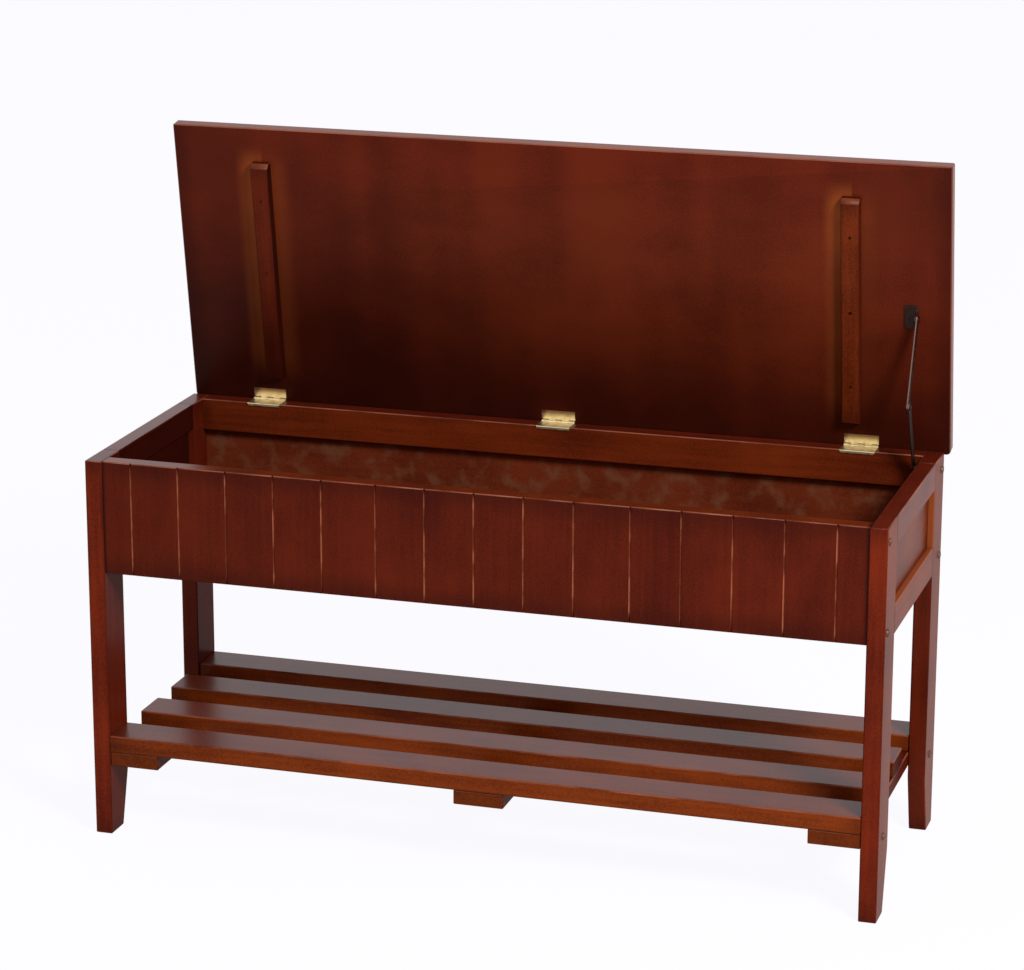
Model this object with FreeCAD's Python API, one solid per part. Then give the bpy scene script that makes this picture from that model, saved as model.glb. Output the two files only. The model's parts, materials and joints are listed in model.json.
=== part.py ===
"""Shoe storage bench: a framed box with a hinged seat lid over a slatted shoe shelf, at rest with the lid open.

Millimetres. +X to the right, the front faces -Y, +Z up, origin on the floor under the middle of the open bench.
Pieces of the lid are modelled closed and turned open about the hinge pins. The right end is modelled and
mirrored for the left.
"""
import FreeCAD, Part
import math
import os

from FreeCAD import Vector

# Frame of the bench
frame_length = 908.0
frame_depth = 322.0
box_top = 442.0
box_height = 130.0
front_y = -170.0

# Legs, which are also the stiles of the ends
leg_thick = 20.0
leg_depth = 52.0
foot_depth = 33.0
taper_height = 70.0
eased_edge = 1.0

# Framed ends
end_top_rail_height = 30.5
end_bottom_rail_height = 33.0
end_rail_drop = 1.0
end_panel_thick = 6.0
groove_depth = 8.0
groove_end_wood = 6.0
joint_gap = 0.15

# Front panel with its plank grooves
front_panel_thick = 20.5
front_setback = 1.5
grooves_per_group = 5
groove_groups = 3
plank_width = 56.2
plank_end_margin = 34.1
plank_groove_width = 2.6
plank_groove_depth = 1.8

# Back
back_rail_thick = 22.0
back_top_rail_height = 38.0
back_bottom_rail_height = 33.0
back_panel_thick = 4.0
back_panel_inset = 7.0

# Box bottom
bottom_thick = 6.0
bottom_rise = 9.0
bottom_groove_depth = 5.0

# Shoe shelf
slat_count = 4
slat_width = 50.0
slat_thick = 19.5
slat_edge = 1.5
shelf_top = 119.0
cross_width = 58.0
cross_thick = 17.0
cross_inset = 1.5
cross_middle_shift = 5.0

# Bolts and barrel nuts
bolt_sides = 8
bolt_head_sides = 12
bolt_head_radius = 4.6
bolt_head_height = 1.6
bolt_head_bevel = 0.8
bolt_radius = 3.0
bolt_hole_gap = 0.2
bolt_length = 52.0
bolt_drop = 17.0
bolt_rise = 13.0
nut_radius = 5.0
nut_length = 10.0
nut_reach = 24.0

# Wood screws
screw_sides = 6
screw_head_radius = 3.2
screw_radius = 1.6
slat_screw_length = 26.0
slat_screw_aside = 14.0
slat_screw_ahead = 10.0
batten_screw_count = 3
batten_head_radius = 1.9
batten_screw_radius = 1.1
batten_screw_length = 19.0
small_head_radius = 2.2
small_screw_radius = 0.9
small_screw_length = 11.0

# Lid
lid_side_overhang = 2.0
lid_front_overhang = 16.0
lid_thick = 15.4
lid_shift = 4.5
lid_gap = 0.3
lid_rear_corner = 5.0
lid_front_corner = 2.0
lid_eased_edge = 1.2
open_angle = 81.0

# Battens on the lid's inner face
batten_width = 21.0
batten_thick = 12.5
batten_from_end = 87.5
batten_shift = 2.4
batten_rear_gap = 9.0
batten_front_gap = 2.0
batten_bevel = 5.2
batten_edge = 0.8

# Hinges
pin_behind_frame = 1.0
pin_below_top = 1.0
lid_behind_pin = 3.0
hinge_length = 40.0
hinge_shift = 1.2
hinge_from_end = 76.5
knuckle_radius = 2.6
knuckle_sides = 12
knuckle_count = 5
knuckle_gap = 0.2
hinge_pin_radius = 1.25
running_fit = 0.05
leaf_thick = 1.2
lid_leaf_width = 14.0
leaf_lip = 3.2
leaf_bend = 1.0
leaf_corner = 1.5
leaf_screw_pitch = 20.0
leaf_gap = 0.1
notch_gap = 0.4

# Folding stay on the right end
stay_pivot_up_lid = 164.7
stay_pivot_off_lid = 8.6
stay_pivot_in = 33.0
stay_pivot_drop = 12.0
upper_link_length = 98.7
elbow_open_angle = 129.7
link_width = 12.0
link_thick = 1.4
link_gap = 0.3
upper_link_off_wall = 10.7
stay_plate_thick = 1.4
lid_plate_width = 15.0
lid_plate_height = 27.0
lid_screw_in = 9.0
flange_base = 21.0
box_plate_width = 14.0
box_plate_rise = 9.0
box_plate_drop = 22.0
box_plate_corner = 2.0
stay_screw_pitch = 8.0
rivet_radius = 2.0
rivet_head_sides = 12
rivet_head_radius = 3.6
rivet_head_height = 1.2
rivet_play = 0.1
spacer_radius = 4.0

# How closely two lengths, or two directions, must agree to count as the same
nearly = 0.01

# Places worked out from the sizes
half_length = frame_length / 2
rear_y = front_y + frame_depth
inner_x = half_length - leg_thick
leg_middle_x = inner_x + leg_thick / 2
rail_front_y = front_y + leg_depth
rail_rear_y = rear_y - leg_depth
panel_face_y = front_y + front_setback
front_inner_y = panel_face_y + front_panel_thick
back_inner_y = rear_y - back_rail_thick
box_low = box_top - box_height
end_rail_low = box_low - end_rail_drop
end_panel_low = end_rail_low + end_bottom_rail_height
end_panel_high = box_top - end_top_rail_height
back_rail_high = box_low + back_bottom_rail_height
back_rail_low = box_top - back_top_rail_height
back_panel_y = rear_y - back_panel_inset - back_panel_thick
bottom_low = box_low + bottom_rise
bottom_high = bottom_low + bottom_thick
shelf_low = shelf_top - slat_thick
cross_low = shelf_low - cross_thick
pin_y = rear_y + pin_behind_frame
pin_z = box_top - pin_below_top
lid_rear_y = pin_y + lid_behind_pin
lid_front_y = front_y - lid_front_overhang
lid_low = box_top + lid_gap
lid_high = lid_low + lid_thick
slot_half = end_panel_thick / 2 + joint_gap
panel_reach = groove_depth - joint_gap
board_reach = bottom_groove_depth - joint_gap
upper_link_x = inner_x - upper_link_off_wall
flange_x = upper_link_x - link_gap - stay_plate_thick
lower_link_x = upper_link_x + link_thick + link_gap
stay_lid_y = lid_rear_y - stay_pivot_up_lid
stay_lid_z = lid_low - stay_pivot_off_lid
stay_box_y = rear_y - stay_pivot_in
stay_box_z = box_top - stay_pivot_drop


def box(x0, x1, y0, y1, z0, z1):
    """A block between two corners."""
    return Part.makeBox(x1 - x0, y1 - y0, z1 - z0, Vector(x0, y0, z0))


def bar(radius, start, end):
    """A round bar between two points."""
    way = end - start
    return Part.makeCylinder(radius, way.Length, start, way)


def bar_x(radius, x0, x1, y, z):
    """A round bar along X."""
    return bar(radius, Vector(x0, y, z), Vector(x1, y, z))


def prism_x(points, x0, x1):
    """A profile of (y, z) points carried along X."""
    corners = [Vector(x0, y, z) for y, z in points]
    face = Part.Face(Part.makePolygon(corners + corners[:1]))
    return face.extrude(Vector(x1 - x0, 0, 0))


def eased(shape, amount, way=None):
    """The edges of a block taken off with a small flat: all of them, or those that run one way."""
    edges = shape.Edges
    if way:
        edges = [e for e in edges if e.tangentAt(e.FirstParameter).cross(way).Length < nearly]
    return shape.makeChamfer(amount, edges)


def cut_all(shape, tools):
    """A shape with several holes cut in it."""
    for tool in tools:
        shape = shape.cut(tool)
    return shape


def mirrored_x(shape):
    """The same piece at the other end."""
    return shape.mirror(Vector(0, 0, 0), Vector(1, 0, 0))


def opened(shape):
    """A piece of the lid turned from closed to the open rest position, about the hinge pins."""
    turned = shape.copy()
    turned.rotate(Vector(0, pin_y, pin_z), Vector(1, 0, 0), -open_angle)
    return turned


def save(name, shapes):
    """Write one node, either one solid or a group of separate solids."""
    shape = shapes if isinstance(shapes, Part.Shape) else Part.makeCompound(shapes)
    shape.exportStep("parts/" + name + ".step")


def faceted(profile, sides, start, way):
    """A turned piece with flat sides in place of its curve: (radius, distance) pairs along its axis."""
    first = Vector(way.y, way.z, way.x)
    second = way.cross(first)
    angles = [math.tau * (corner + 0.5) / sides for corner in range(sides)]
    spokes = [first * math.cos(a) + second * math.sin(a) for a in angles]
    rings = [[start + way * distance + spoke * radius for spoke in spokes] for radius, distance in profile]
    outlines = [rings[0], rings[-1]]
    for near, far in zip(rings, rings[1:]):
        outlines += [[near[i - 1], near[i], far[i], far[i - 1]] for i in range(sides)]
    faces = [Part.Face(Part.makePolygon(outline + outline[:1])) for outline in outlines]
    return Part.Solid(Part.Shell(faces))


def countersunk(head_radius, shank_radius, length, start, way):
    """A countersunk screw whose head lies flush at its start."""
    profile = [(head_radius, 0), (shank_radius, head_radius - shank_radius), (shank_radius, length)]
    return faceted(profile, screw_sides, start, way)


# Bolted joints

def panel_bolts(side):
    """Y and Z of the two bolts that hold the front panel (side 1) or the back rails (side -1)."""
    face = front_y if side > 0 else rear_y
    y = face + side * (front_setback + front_panel_thick / 2)
    return [(y, box_top - bolt_drop), (y, box_low + bolt_rise)]


def shelf_bolt(side):
    """Y and Z of the bolt that holds an outer cross member to a front (1) or rear (-1) leg."""
    face = front_y if side > 0 else rear_y
    return face + side * leg_depth / 2, shelf_low - cross_thick / 2


def bolt_bore(y, z):
    """The hole that a bolt runs through, at the right end."""
    radius = bolt_radius + bolt_hole_gap
    start = Vector(half_length - bolt_length - bolt_hole_gap, y, z)
    return faceted([(radius, 0), (radius, half_length - start.x)], bolt_sides, start, Vector(1, 0, 0))


def nut_pocket(y, z, way):
    """The blind hole for a barrel nut, open in the direction that it is put in from."""
    radius = nut_radius + joint_gap
    profile = [(radius, -nut_length / 2 - joint_gap), (radius, leg_depth)]
    return faceted(profile, bolt_sides, Vector(inner_x - nut_reach, y, z), way)


def panel_holes(side):
    """Bolt holes and nut pockets at both ends of the front panel (1) or of the back rails (-1)."""
    holes = []
    for y, z in panel_bolts(side):
        right = bolt_bore(y, z).fuse(nut_pocket(y, z, Vector(0, 1, 0)))
        holes += [right, mirrored_x(right)]
    return holes


def leg_bolt(y, z):
    """A bolt with a low bevelled head on the right end's outer face."""
    start, way = Vector(half_length, y, z), Vector(1, 0, 0)
    profile = [(bolt_head_radius, 0), (bolt_head_radius - bolt_head_bevel, bolt_head_height)]
    head = faceted(profile, bolt_head_sides, start, way)
    shank = faceted([(bolt_radius, -bolt_length), (bolt_radius, 0)], bolt_sides, start, way)
    return head.fuse(shank)


def barrel_nut(y, z, way):
    """A cross dowel nut with its bolt hole."""
    profile = [(nut_radius, -nut_length / 2), (nut_radius, nut_length / 2)]
    nut = faceted(profile, bolt_sides, Vector(inner_x - nut_reach, y, z), way)
    return nut.cut(bolt_bore(y, z))


def bolts_and_nuts():
    """The twelve bolts and their barrel nuts."""
    bolts, nuts = [], []
    for side in (1, -1):
        for y, z in panel_bolts(side) + [shelf_bolt(side)]:
            way = Vector(0, 1, 0) if z > shelf_top else Vector(0, 0, 1)
            bolts += [leg_bolt(y, z), mirrored_x(leg_bolt(y, z))]
            nuts += [barrel_nut(y, z, way), mirrored_x(barrel_nut(y, z, way))]
    return bolts, nuts


# Ends

def leg(side):
    """A right-hand leg, front (1) or rear (-1): straight outside, its foot tapered on the inner edge."""
    outer = front_y if side > 0 else rear_y
    inner = outer + side * leg_depth
    outline = [(outer, 0), (outer + side * foot_depth, 0), (inner, taper_height), (inner, box_top),
               (outer, box_top)]
    body = eased(prism_x(outline, inner_x, half_length), eased_edge)
    deep = inner - side * groove_depth
    slot = box(leg_middle_x - slot_half, leg_middle_x + slot_half, min(inner, deep), max(inner, deep),
               end_rail_low + groove_end_wood, box_top - groove_end_wood)
    holes = [bolt_bore(y, z) for y, z in panel_bolts(side) + [shelf_bolt(side)]]
    if side < 0:
        holes.append(back_panel_groove(back_rail_high - bottom_groove_depth,
                                       back_rail_low + bottom_groove_depth, inner_x + bottom_groove_depth))
    return cut_all(body, [slot] + holes)


def end_rail(low, high):
    """A right-hand end rail with a stub tenon at each end, before its grooves."""
    body = eased(box(inner_x, half_length, rail_front_y, rail_rear_y, low, high), eased_edge, Vector(0, 1, 0))
    tenon_low = max(low, end_rail_low + groove_end_wood) + joint_gap
    tenon_high = min(high, box_top - groove_end_wood) - joint_gap
    tenons = box(leg_middle_x - end_panel_thick / 2, leg_middle_x + end_panel_thick / 2,
                 rail_front_y - panel_reach, rail_rear_y + panel_reach, tenon_low, tenon_high)
    return body.fuse(tenons).removeSplitter()


def end_slot(low, high):
    """The groove for the end panel in a rail's edge."""
    return box(leg_middle_x - slot_half, leg_middle_x + slot_half, rail_front_y - groove_depth,
               rail_rear_y + groove_depth, low, high)


def end_top_rail():
    """The rail flush with the tops of the legs."""
    return end_rail(end_panel_high, box_top).cut(end_slot(end_panel_high, end_panel_high + groove_depth))


def end_bottom_rail():
    """The rail under the end panel, with the groove for the box bottom's short edge."""
    bottom_slot = box(inner_x, inner_x + bottom_groove_depth, rail_front_y, rail_rear_y,
                      bottom_low - joint_gap, bottom_high + joint_gap)
    body = end_rail(end_rail_low, end_panel_low)
    return cut_all(body, [end_slot(end_panel_low - groove_depth, end_panel_low), bottom_slot])


def end_panel():
    """The thin recessed panel, its four edges in the grooves of the legs and rails."""
    return box(leg_middle_x - end_panel_thick / 2, leg_middle_x + end_panel_thick / 2,
               rail_front_y - panel_reach, rail_rear_y + panel_reach,
               end_panel_low - panel_reach, end_panel_high + panel_reach)


# Front, back and bottom

def plank_groove_places():
    """Where the V grooves stand: groups of five with a wider plank between groups."""
    half_group = (grooves_per_group - 1) / 2 * plank_width
    group_pitch = (2 * (inner_x - plank_end_margin - half_group)) / (groove_groups - 1)
    places = []
    for group in range(groove_groups):
        centre = (group - (groove_groups - 1) / 2) * group_pitch
        places += [centre - half_group + i * plank_width for i in range(grooves_per_group)]
    return places


def plank_groove(x):
    """A V groove of the front panel's full height."""
    half = plank_groove_width / 2
    corners = [Vector(x - half, panel_face_y, box_low), Vector(x + half, panel_face_y, box_low),
               Vector(x, panel_face_y + plank_groove_depth, box_low)]
    return Part.Face(Part.makePolygon(corners + corners[:1])).extrude(Vector(0, 0, box_height))


def bottom_groove(y0, y1):
    """The full-length groove for a long edge of the box bottom."""
    return box(-inner_x, inner_x, y0, y1, bottom_low - joint_gap, bottom_high + joint_gap)


def back_panel_groove(low, high, half):
    """The groove for the back panel, as wide as the panel and its play."""
    return box(-half, half, back_panel_y - joint_gap, back_panel_y + back_panel_thick + joint_gap, low, high)


def front_panel():
    """The front board between the legs, with its plank grooves."""
    block = box(-inner_x, inner_x, panel_face_y, front_inner_y, box_low, box_top)
    body = eased(block, eased_edge, Vector(1, 0, 0))
    body = cut_all(body, [plank_groove(x) for x in plank_groove_places()])
    return cut_all(body, [bottom_groove(front_inner_y - bottom_groove_depth, front_inner_y)] + panel_holes(1))


def back_top_rail():
    """The rail that the lid is hinged to."""
    block = box(-inner_x, inner_x, back_inner_y, rear_y, back_rail_low, box_top)
    body = eased(block, eased_edge, Vector(1, 0, 0))
    body = body.cut(back_panel_groove(back_rail_low, back_rail_low + bottom_groove_depth, inner_x))
    body = cut_all(body, panel_holes(-1))
    for x in hinge_centres():
        body = cut_all(body, [box_leaf_gain(x)] + box_leaf_screws(x))
    return body


def back_bottom_rail():
    """The rail under the back panel, grooved for it and for the box bottom."""
    block = box(-inner_x, inner_x, back_inner_y, rear_y, box_low, back_rail_high)
    body = eased(block, eased_edge, Vector(1, 0, 0))
    grooves = [back_panel_groove(back_rail_high - bottom_groove_depth, back_rail_high, inner_x),
               bottom_groove(back_inner_y, back_inner_y + bottom_groove_depth)]
    return cut_all(body, grooves + panel_holes(-1))


def back_panel():
    """The thin back panel, with its edges in the grooves of the rails and rear legs."""
    return box(-inner_x - board_reach, inner_x + board_reach, back_panel_y, back_panel_y + back_panel_thick,
               back_rail_high - board_reach, back_rail_low + board_reach)


def box_bottom():
    """The bottom of the storage box, with its edges in the grooves all round."""
    body = box(-inner_x, inner_x, front_inner_y - board_reach, back_inner_y + board_reach,
               bottom_low, bottom_high)
    tongues = box(-inner_x - board_reach, inner_x + board_reach,
                  rail_front_y + joint_gap, rail_rear_y - joint_gap, bottom_low, bottom_high)
    return body.fuse(tongues).removeSplitter()


# Shoe shelf

def slat_y(index):
    """Front edge of a slat: the first is flush with the legs' fronts and the last with their backs."""
    return front_y + index * (frame_depth - slat_width) / (slat_count - 1)


def cross_centres():
    """Middle of each cross member: one against each end's legs and one about halfway."""
    outer = inner_x - cross_width / 2
    return [-outer, cross_middle_shift, outer]


def slat_screws(index, centre):
    """Two screws up through a cross member into a slat, set on the slant across it."""
    y = slat_y(index) + slat_width / 2
    return [countersunk(screw_head_radius, screw_radius, slat_screw_length,
                        Vector(centre + side * slat_screw_aside, y + side * slat_screw_ahead, cross_low),
                        Vector(0, 0, 1))
            for side in (-1, 1)]


def shelf_slat(index):
    """A slat between the legs' inner faces."""
    y = slat_y(index)
    body = eased(box(-inner_x, inner_x, y, y + slat_width, shelf_low, shelf_top), slat_edge)
    for centre in cross_centres():
        body = cut_all(body, slat_screws(index, centre))
    return body


def cross_member(centre):
    """A flat bearer under the slats, from front to rear."""
    left, right = centre - cross_width / 2, centre + cross_width / 2
    block = box(left, right, front_y + cross_inset, rear_y - cross_inset, cross_low, shelf_low)
    body = eased(block, eased_edge)
    for index in range(slat_count):
        body = cut_all(body, slat_screws(index, centre))
    return body


def bolted_cross_member(centre):
    """A bearer against an end's legs, with its bolt holes and nut pockets."""
    body = cross_member(centre)
    for side in (1, -1):
        y, z = shelf_bolt(side)
        hole = bolt_bore(y, z).fuse(nut_pocket(y, z, Vector(0, 0, -1)))
        body = body.cut(hole if centre > 0 else mirrored_x(hole))
    return body


# Hinges

def hinge_centres():
    """Middle of each hinge."""
    outer = inner_x - hinge_from_end
    return [hinge_shift - outer, hinge_shift, hinge_shift + outer]


def knuckle_span(x, index):
    """The stretch of the pin that a knuckle has, gap included."""
    pitch = hinge_length / knuckle_count
    left = x - hinge_length / 2 + index * pitch
    return left, left + pitch


def knuckle_room(x0, x1):
    """The square notch that leaves the knuckles room."""
    reach = knuckle_radius + notch_gap
    return box(x0, x1, pin_y - reach, lid_rear_y + reach, pin_z - reach, pin_z + reach)


def with_knuckles(plate, x, first):
    """A leaf's plate with every second knuckle, cut clear of the other leaf's, and bored for the pin."""
    for index in range(knuckle_count):
        x0, x1 = knuckle_span(x, index)
        if index % 2 == first:
            profile = [(knuckle_radius, knuckle_gap / 2), (knuckle_radius, x1 - x0 - knuckle_gap / 2)]
            plate = plate.fuse(faceted(profile, knuckle_sides, Vector(x0, pin_y, pin_z), Vector(1, 0, 0)))
        else:
            plate = plate.cut(knuckle_room(x0 - knuckle_gap / 2, x1 + knuckle_gap / 2))
    bore = bar_x(hinge_pin_radius + running_fit, x - hinge_length, x + hinge_length, pin_y, pin_z)
    return plate.cut(bore).removeSplitter()


def leaf_screws(x, y, z, way):
    """Two small screws flush with a leaf."""
    return [countersunk(small_head_radius, small_screw_radius, small_screw_length,
                        Vector(x + side * leaf_screw_pitch / 2, y, z), way) for side in (-1, 1)]


def box_leaf_screws(x):
    """The screws down into the back rail."""
    return leaf_screws(x, (back_inner_y + rear_y) / 2, box_top, Vector(0, 0, -1))


def lid_leaf_screws(x):
    """The screws up into the lid, closed."""
    return leaf_screws(x, pin_y - (lid_leaf_width + knuckle_radius) / 2, lid_low, Vector(0, 0, 1))


def box_leaf(x):
    """A leaf let into the back rail's top, with a lip turned down over the rail's inner edge."""
    left, right = x - hinge_length / 2, x + hinge_length / 2
    face_y = back_inner_y - leaf_thick
    low = box_top - leaf_lip
    outline = [(pin_y, box_top), (face_y, box_top), (face_y, low), (back_inner_y, low),
               (back_inner_y, box_top - leaf_thick), (pin_y, box_top - leaf_thick)]
    plate = prism_x(outline, left, right)
    bend = [e for e in plate.Edges if e.Length > hinge_length / 2
            and (e.CenterOfMass - Vector(x, face_y, box_top)).Length < leaf_thick / 2]
    plate = plate.makeFillet(leaf_bend, bend)
    corners = [e for e in plate.Edges if abs(e.Length - leaf_thick) < nearly
               and abs(e.CenterOfMass.z - low) < nearly]
    plate = plate.makeFillet(leaf_corner, corners)
    return cut_all(with_knuckles(plate, x, 0), box_leaf_screws(x))


def box_leaf_gain(x):
    """The housing for a box leaf in the rail's top, with a notch for the knuckles."""
    left, right = x - hinge_length / 2 - leaf_gap, x + hinge_length / 2 + leaf_gap
    gain = box(left, right, back_inner_y - leaf_lip, rear_y + leaf_lip,
               box_top - leaf_thick, box_top + leaf_lip)
    return gain.fuse(knuckle_room(left, right))


def lid_leaf(x):
    """A leaf let into the lid's inner face, closed."""
    left, right = x - hinge_length / 2, x + hinge_length / 2
    plate = box(left, right, pin_y - lid_leaf_width, pin_y, lid_low, lid_low + leaf_thick)
    return cut_all(with_knuckles(plate, x, 1), lid_leaf_screws(x))


def lid_leaf_gain(x):
    """The housing for a lid leaf and the knuckles in the lid, closed."""
    left, right = x - hinge_length / 2 - leaf_gap, x + hinge_length / 2 + leaf_gap
    gain = box(left, right, pin_y - lid_leaf_width - leaf_gap, pin_y, lid_low - leaf_lip, lid_low + leaf_thick)
    return gain.fuse(knuckle_room(left, right))


def hinge_pin(x):
    """The pin through a hinge's knuckles."""
    half = hinge_length / 2 - knuckle_gap / 2
    return bar_x(hinge_pin_radius, x - half, x + half, pin_y, pin_z)


# Lid, closed

def lid_panel():
    """The seat board, with rounded corners, eased edges, hinge housings and screw holes."""
    half = half_length + lid_side_overhang
    body = box(lid_shift - half, lid_shift + half, lid_front_y, lid_rear_y, lid_low, lid_high)
    for radius, at_rear in ((lid_rear_corner, True), (lid_front_corner, False)):
        uprights = [e for e in body.Edges if abs(e.Length - lid_thick) < nearly
                    and (e.CenterOfMass.y > stay_lid_y) == at_rear]
        body = body.makeFillet(radius, uprights)
    rims = [e for e in body.Edges if e.BoundBox.ZLength < nearly]
    body = body.makeChamfer(lid_eased_edge, rims)
    for x in hinge_centres():
        body = cut_all(body, [lid_leaf_gain(x)] + lid_leaf_screws(x))
    for x in batten_centres():
        body = cut_all(body, batten_screws(x))
    return cut_all(body, lid_bracket_screws())


def batten_centres():
    """Middle of each batten along the lid."""
    outer = inner_x - batten_from_end
    return [batten_shift - outer, batten_shift + outer]


def batten_ends():
    """Front and rear end of a batten, which falls between the front panel and the back rail."""
    return front_inner_y + batten_front_gap, back_inner_y - batten_rear_gap


def batten(x):
    """A batten on the lid's inner face, bevelled at its ends."""
    front, rear = batten_ends()
    low = lid_low - batten_thick
    outline = [(rear, lid_low), (front, lid_low), (front, low + batten_bevel), (front + batten_bevel, low),
               (rear - batten_edge, low), (rear, low + batten_edge)]
    body = prism_x(outline, x - batten_width / 2, x + batten_width / 2)
    return cut_all(eased(body, batten_edge, Vector(0, 1, 0)), batten_screws(x))


def batten_screws(x):
    """Slim screws through a batten into the lid."""
    front, rear = batten_ends()
    pitch = (rear - front) / batten_screw_count
    return [countersunk(batten_head_radius, batten_screw_radius, batten_screw_length,
                        Vector(x, front + pitch * (place + 0.5), lid_low - batten_thick), Vector(0, 0, 1))
            for place in range(batten_screw_count)]


# Folding stay

def lid_pivot():
    """Y and Z of the stay's pivot on the open lid."""
    turned = opened(Part.Vertex(0, stay_lid_y, stay_lid_z))
    return turned.Y, turned.Z


def elbow():
    """Y and Z of the open stay's elbow, in front of the line between its two pivots."""
    y0, z0 = lid_pivot()
    span = math.hypot(stay_box_y - y0, stay_box_z - z0)
    bend = math.radians(elbow_open_angle)
    beside = upper_link_length * math.sin(bend)
    lower = upper_link_length * math.cos(bend) + math.sqrt(span ** 2 - beside ** 2)
    along = (upper_link_length ** 2 + span ** 2 - lower ** 2) / (2 * span)
    aside = math.sqrt(upper_link_length ** 2 - along ** 2)
    way_y, way_z = (stay_box_y - y0) / span, (stay_box_z - z0) / span
    return y0 + along * way_y + aside * way_z, z0 + along * way_z - aside * way_y


def link(x, start, end, start_hole, end_hole):
    """A flat link with round ends and a hole at each pivot."""
    (y0, z0), (y1, z1) = start, end
    length = math.hypot(y1 - y0, z1 - z0)
    half = link_width / 2
    side_y, side_z = -(z1 - z0) / length * half, (y1 - y0) / length * half
    outline = [(y0 + side_y, z0 + side_z), (y1 + side_y, z1 + side_z),
               (y1 - side_y, z1 - side_z), (y0 - side_y, z0 - side_z)]
    body = prism_x(outline, x, x + link_thick)
    for y, z in (start, end):
        body = body.fuse(bar_x(half, x, x + link_thick, y, z))
    for (y, z), radius in ((start, start_hole), (end, end_hole)):
        body = body.cut(bar_x(radius, x - link_gap, x + link_thick + link_gap, y, z))
    return body.removeSplitter()


def rivet(y, z, shank, *steps):
    """A rivet along X: the two ends of its round shank, then the radius and two ends of each head."""
    body = bar_x(rivet_radius, shank[0], shank[1], y, z)
    for radius, x0, x1 in steps:
        head = faceted([(radius, 0), (radius, x1 - x0)], rivet_head_sides, Vector(x0, y, z), Vector(1, 0, 0))
        body = body.fuse(head)
    return body.removeSplitter()


def stay_lid_bracket():
    """An angle plate on the closed lid: screwed to it, with a flange that carries the pivot."""
    y0, y1 = stay_lid_y - lid_plate_height / 2, stay_lid_y + lid_plate_height / 2
    right = flange_x + stay_plate_thick
    plate = box(right - lid_plate_width, right, y0, y1, lid_low - stay_plate_thick, lid_low)
    outline = [(stay_lid_y - flange_base / 2, lid_low), (stay_lid_y + flange_base / 2, lid_low),
               (stay_lid_y + link_width / 2, stay_lid_z), (stay_lid_y - link_width / 2, stay_lid_z)]
    body = plate.fuse(prism_x(outline, flange_x, right))
    body = body.fuse(bar_x(link_width / 2, flange_x, right, stay_lid_y, stay_lid_z)).removeSplitter()
    hole = bar_x(rivet_radius + running_fit, flange_x - link_gap, right + link_gap, stay_lid_y, stay_lid_z)
    return cut_all(body, [hole] + lid_bracket_screws())


def lid_bracket_screws():
    """Two screws through the lid bracket into the closed lid."""
    x = flange_x + stay_plate_thick - lid_screw_in
    return [countersunk(small_head_radius, small_screw_radius, small_screw_length,
                        Vector(x, stay_lid_y + side * stay_screw_pitch, lid_low - stay_plate_thick),
                        Vector(0, 0, 1))
            for side in (-1, 1)]


def stay_lid_rivet():
    """The rivet that holds the upper link to the lid bracket, closed."""
    tail = upper_link_x + link_thick + rivet_play
    return rivet(stay_lid_y, stay_lid_z, (flange_x, tail),
                 (rivet_head_radius, flange_x - rivet_head_height, flange_x),
                 (rivet_head_radius, tail, tail + rivet_head_height))


def stay_upper_link():
    """The link from the lid bracket to the elbow."""
    return link(upper_link_x, lid_pivot(), elbow(), rivet_radius + running_fit, rivet_radius + running_fit)


def stay_lower_link():
    """The link from the elbow to the box bracket."""
    return link(lower_link_x, elbow(), (stay_box_y, stay_box_z), rivet_radius + running_fit,
                rivet_radius + running_fit)


def stay_elbow_rivets():
    """The elbow's rivet in two halves that meet between the links: a head and shank on each."""
    y, z = elbow()
    inner = rivet(y, z, (upper_link_x, upper_link_x + link_thick),
                  (rivet_head_radius, upper_link_x - rivet_head_height, upper_link_x))
    outer_face = lower_link_x + link_thick
    outer = rivet(y, z, (lower_link_x, outer_face),
                  (rivet_head_radius, outer_face, outer_face + rivet_head_height))
    return inner, outer


def stay_box_stud():
    """The shouldered stud that holds the lower link off the box bracket."""
    shoulder = lower_link_x + link_thick + rivet_play
    head = lower_link_x - rivet_play
    return rivet(stay_box_y, stay_box_z, (head, inner_x),
                 (spacer_radius, shoulder, inner_x - stay_plate_thick),
                 (rivet_head_radius, head - rivet_head_height, head))


def stay_box_bracket():
    """The plate screwed to the rear leg's inner face, which carries the stud."""
    plate = box(inner_x - stay_plate_thick, inner_x, stay_box_y - box_plate_width / 2,
                stay_box_y + box_plate_width / 2, stay_box_z - box_plate_drop, stay_box_z + box_plate_rise)
    corners = [e for e in plate.Edges if abs(e.Length - stay_plate_thick) < nearly]
    plate = plate.makeFillet(box_plate_corner, corners)
    hole = bar_x(rivet_radius + running_fit, inner_x - spacer_radius, inner_x + spacer_radius,
                 stay_box_y, stay_box_z)
    return cut_all(plate, [hole] + box_bracket_screws())


def box_bracket_screws():
    """Two screws through the box bracket into the rear leg, below the stud."""
    return [countersunk(small_head_radius, small_screw_radius, small_screw_length,
                        Vector(inner_x - stay_plate_thick, stay_box_y, stay_box_z - stay_screw_pitch * place),
                        Vector(1, 0, 0)) for place in (1, 2)]


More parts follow.
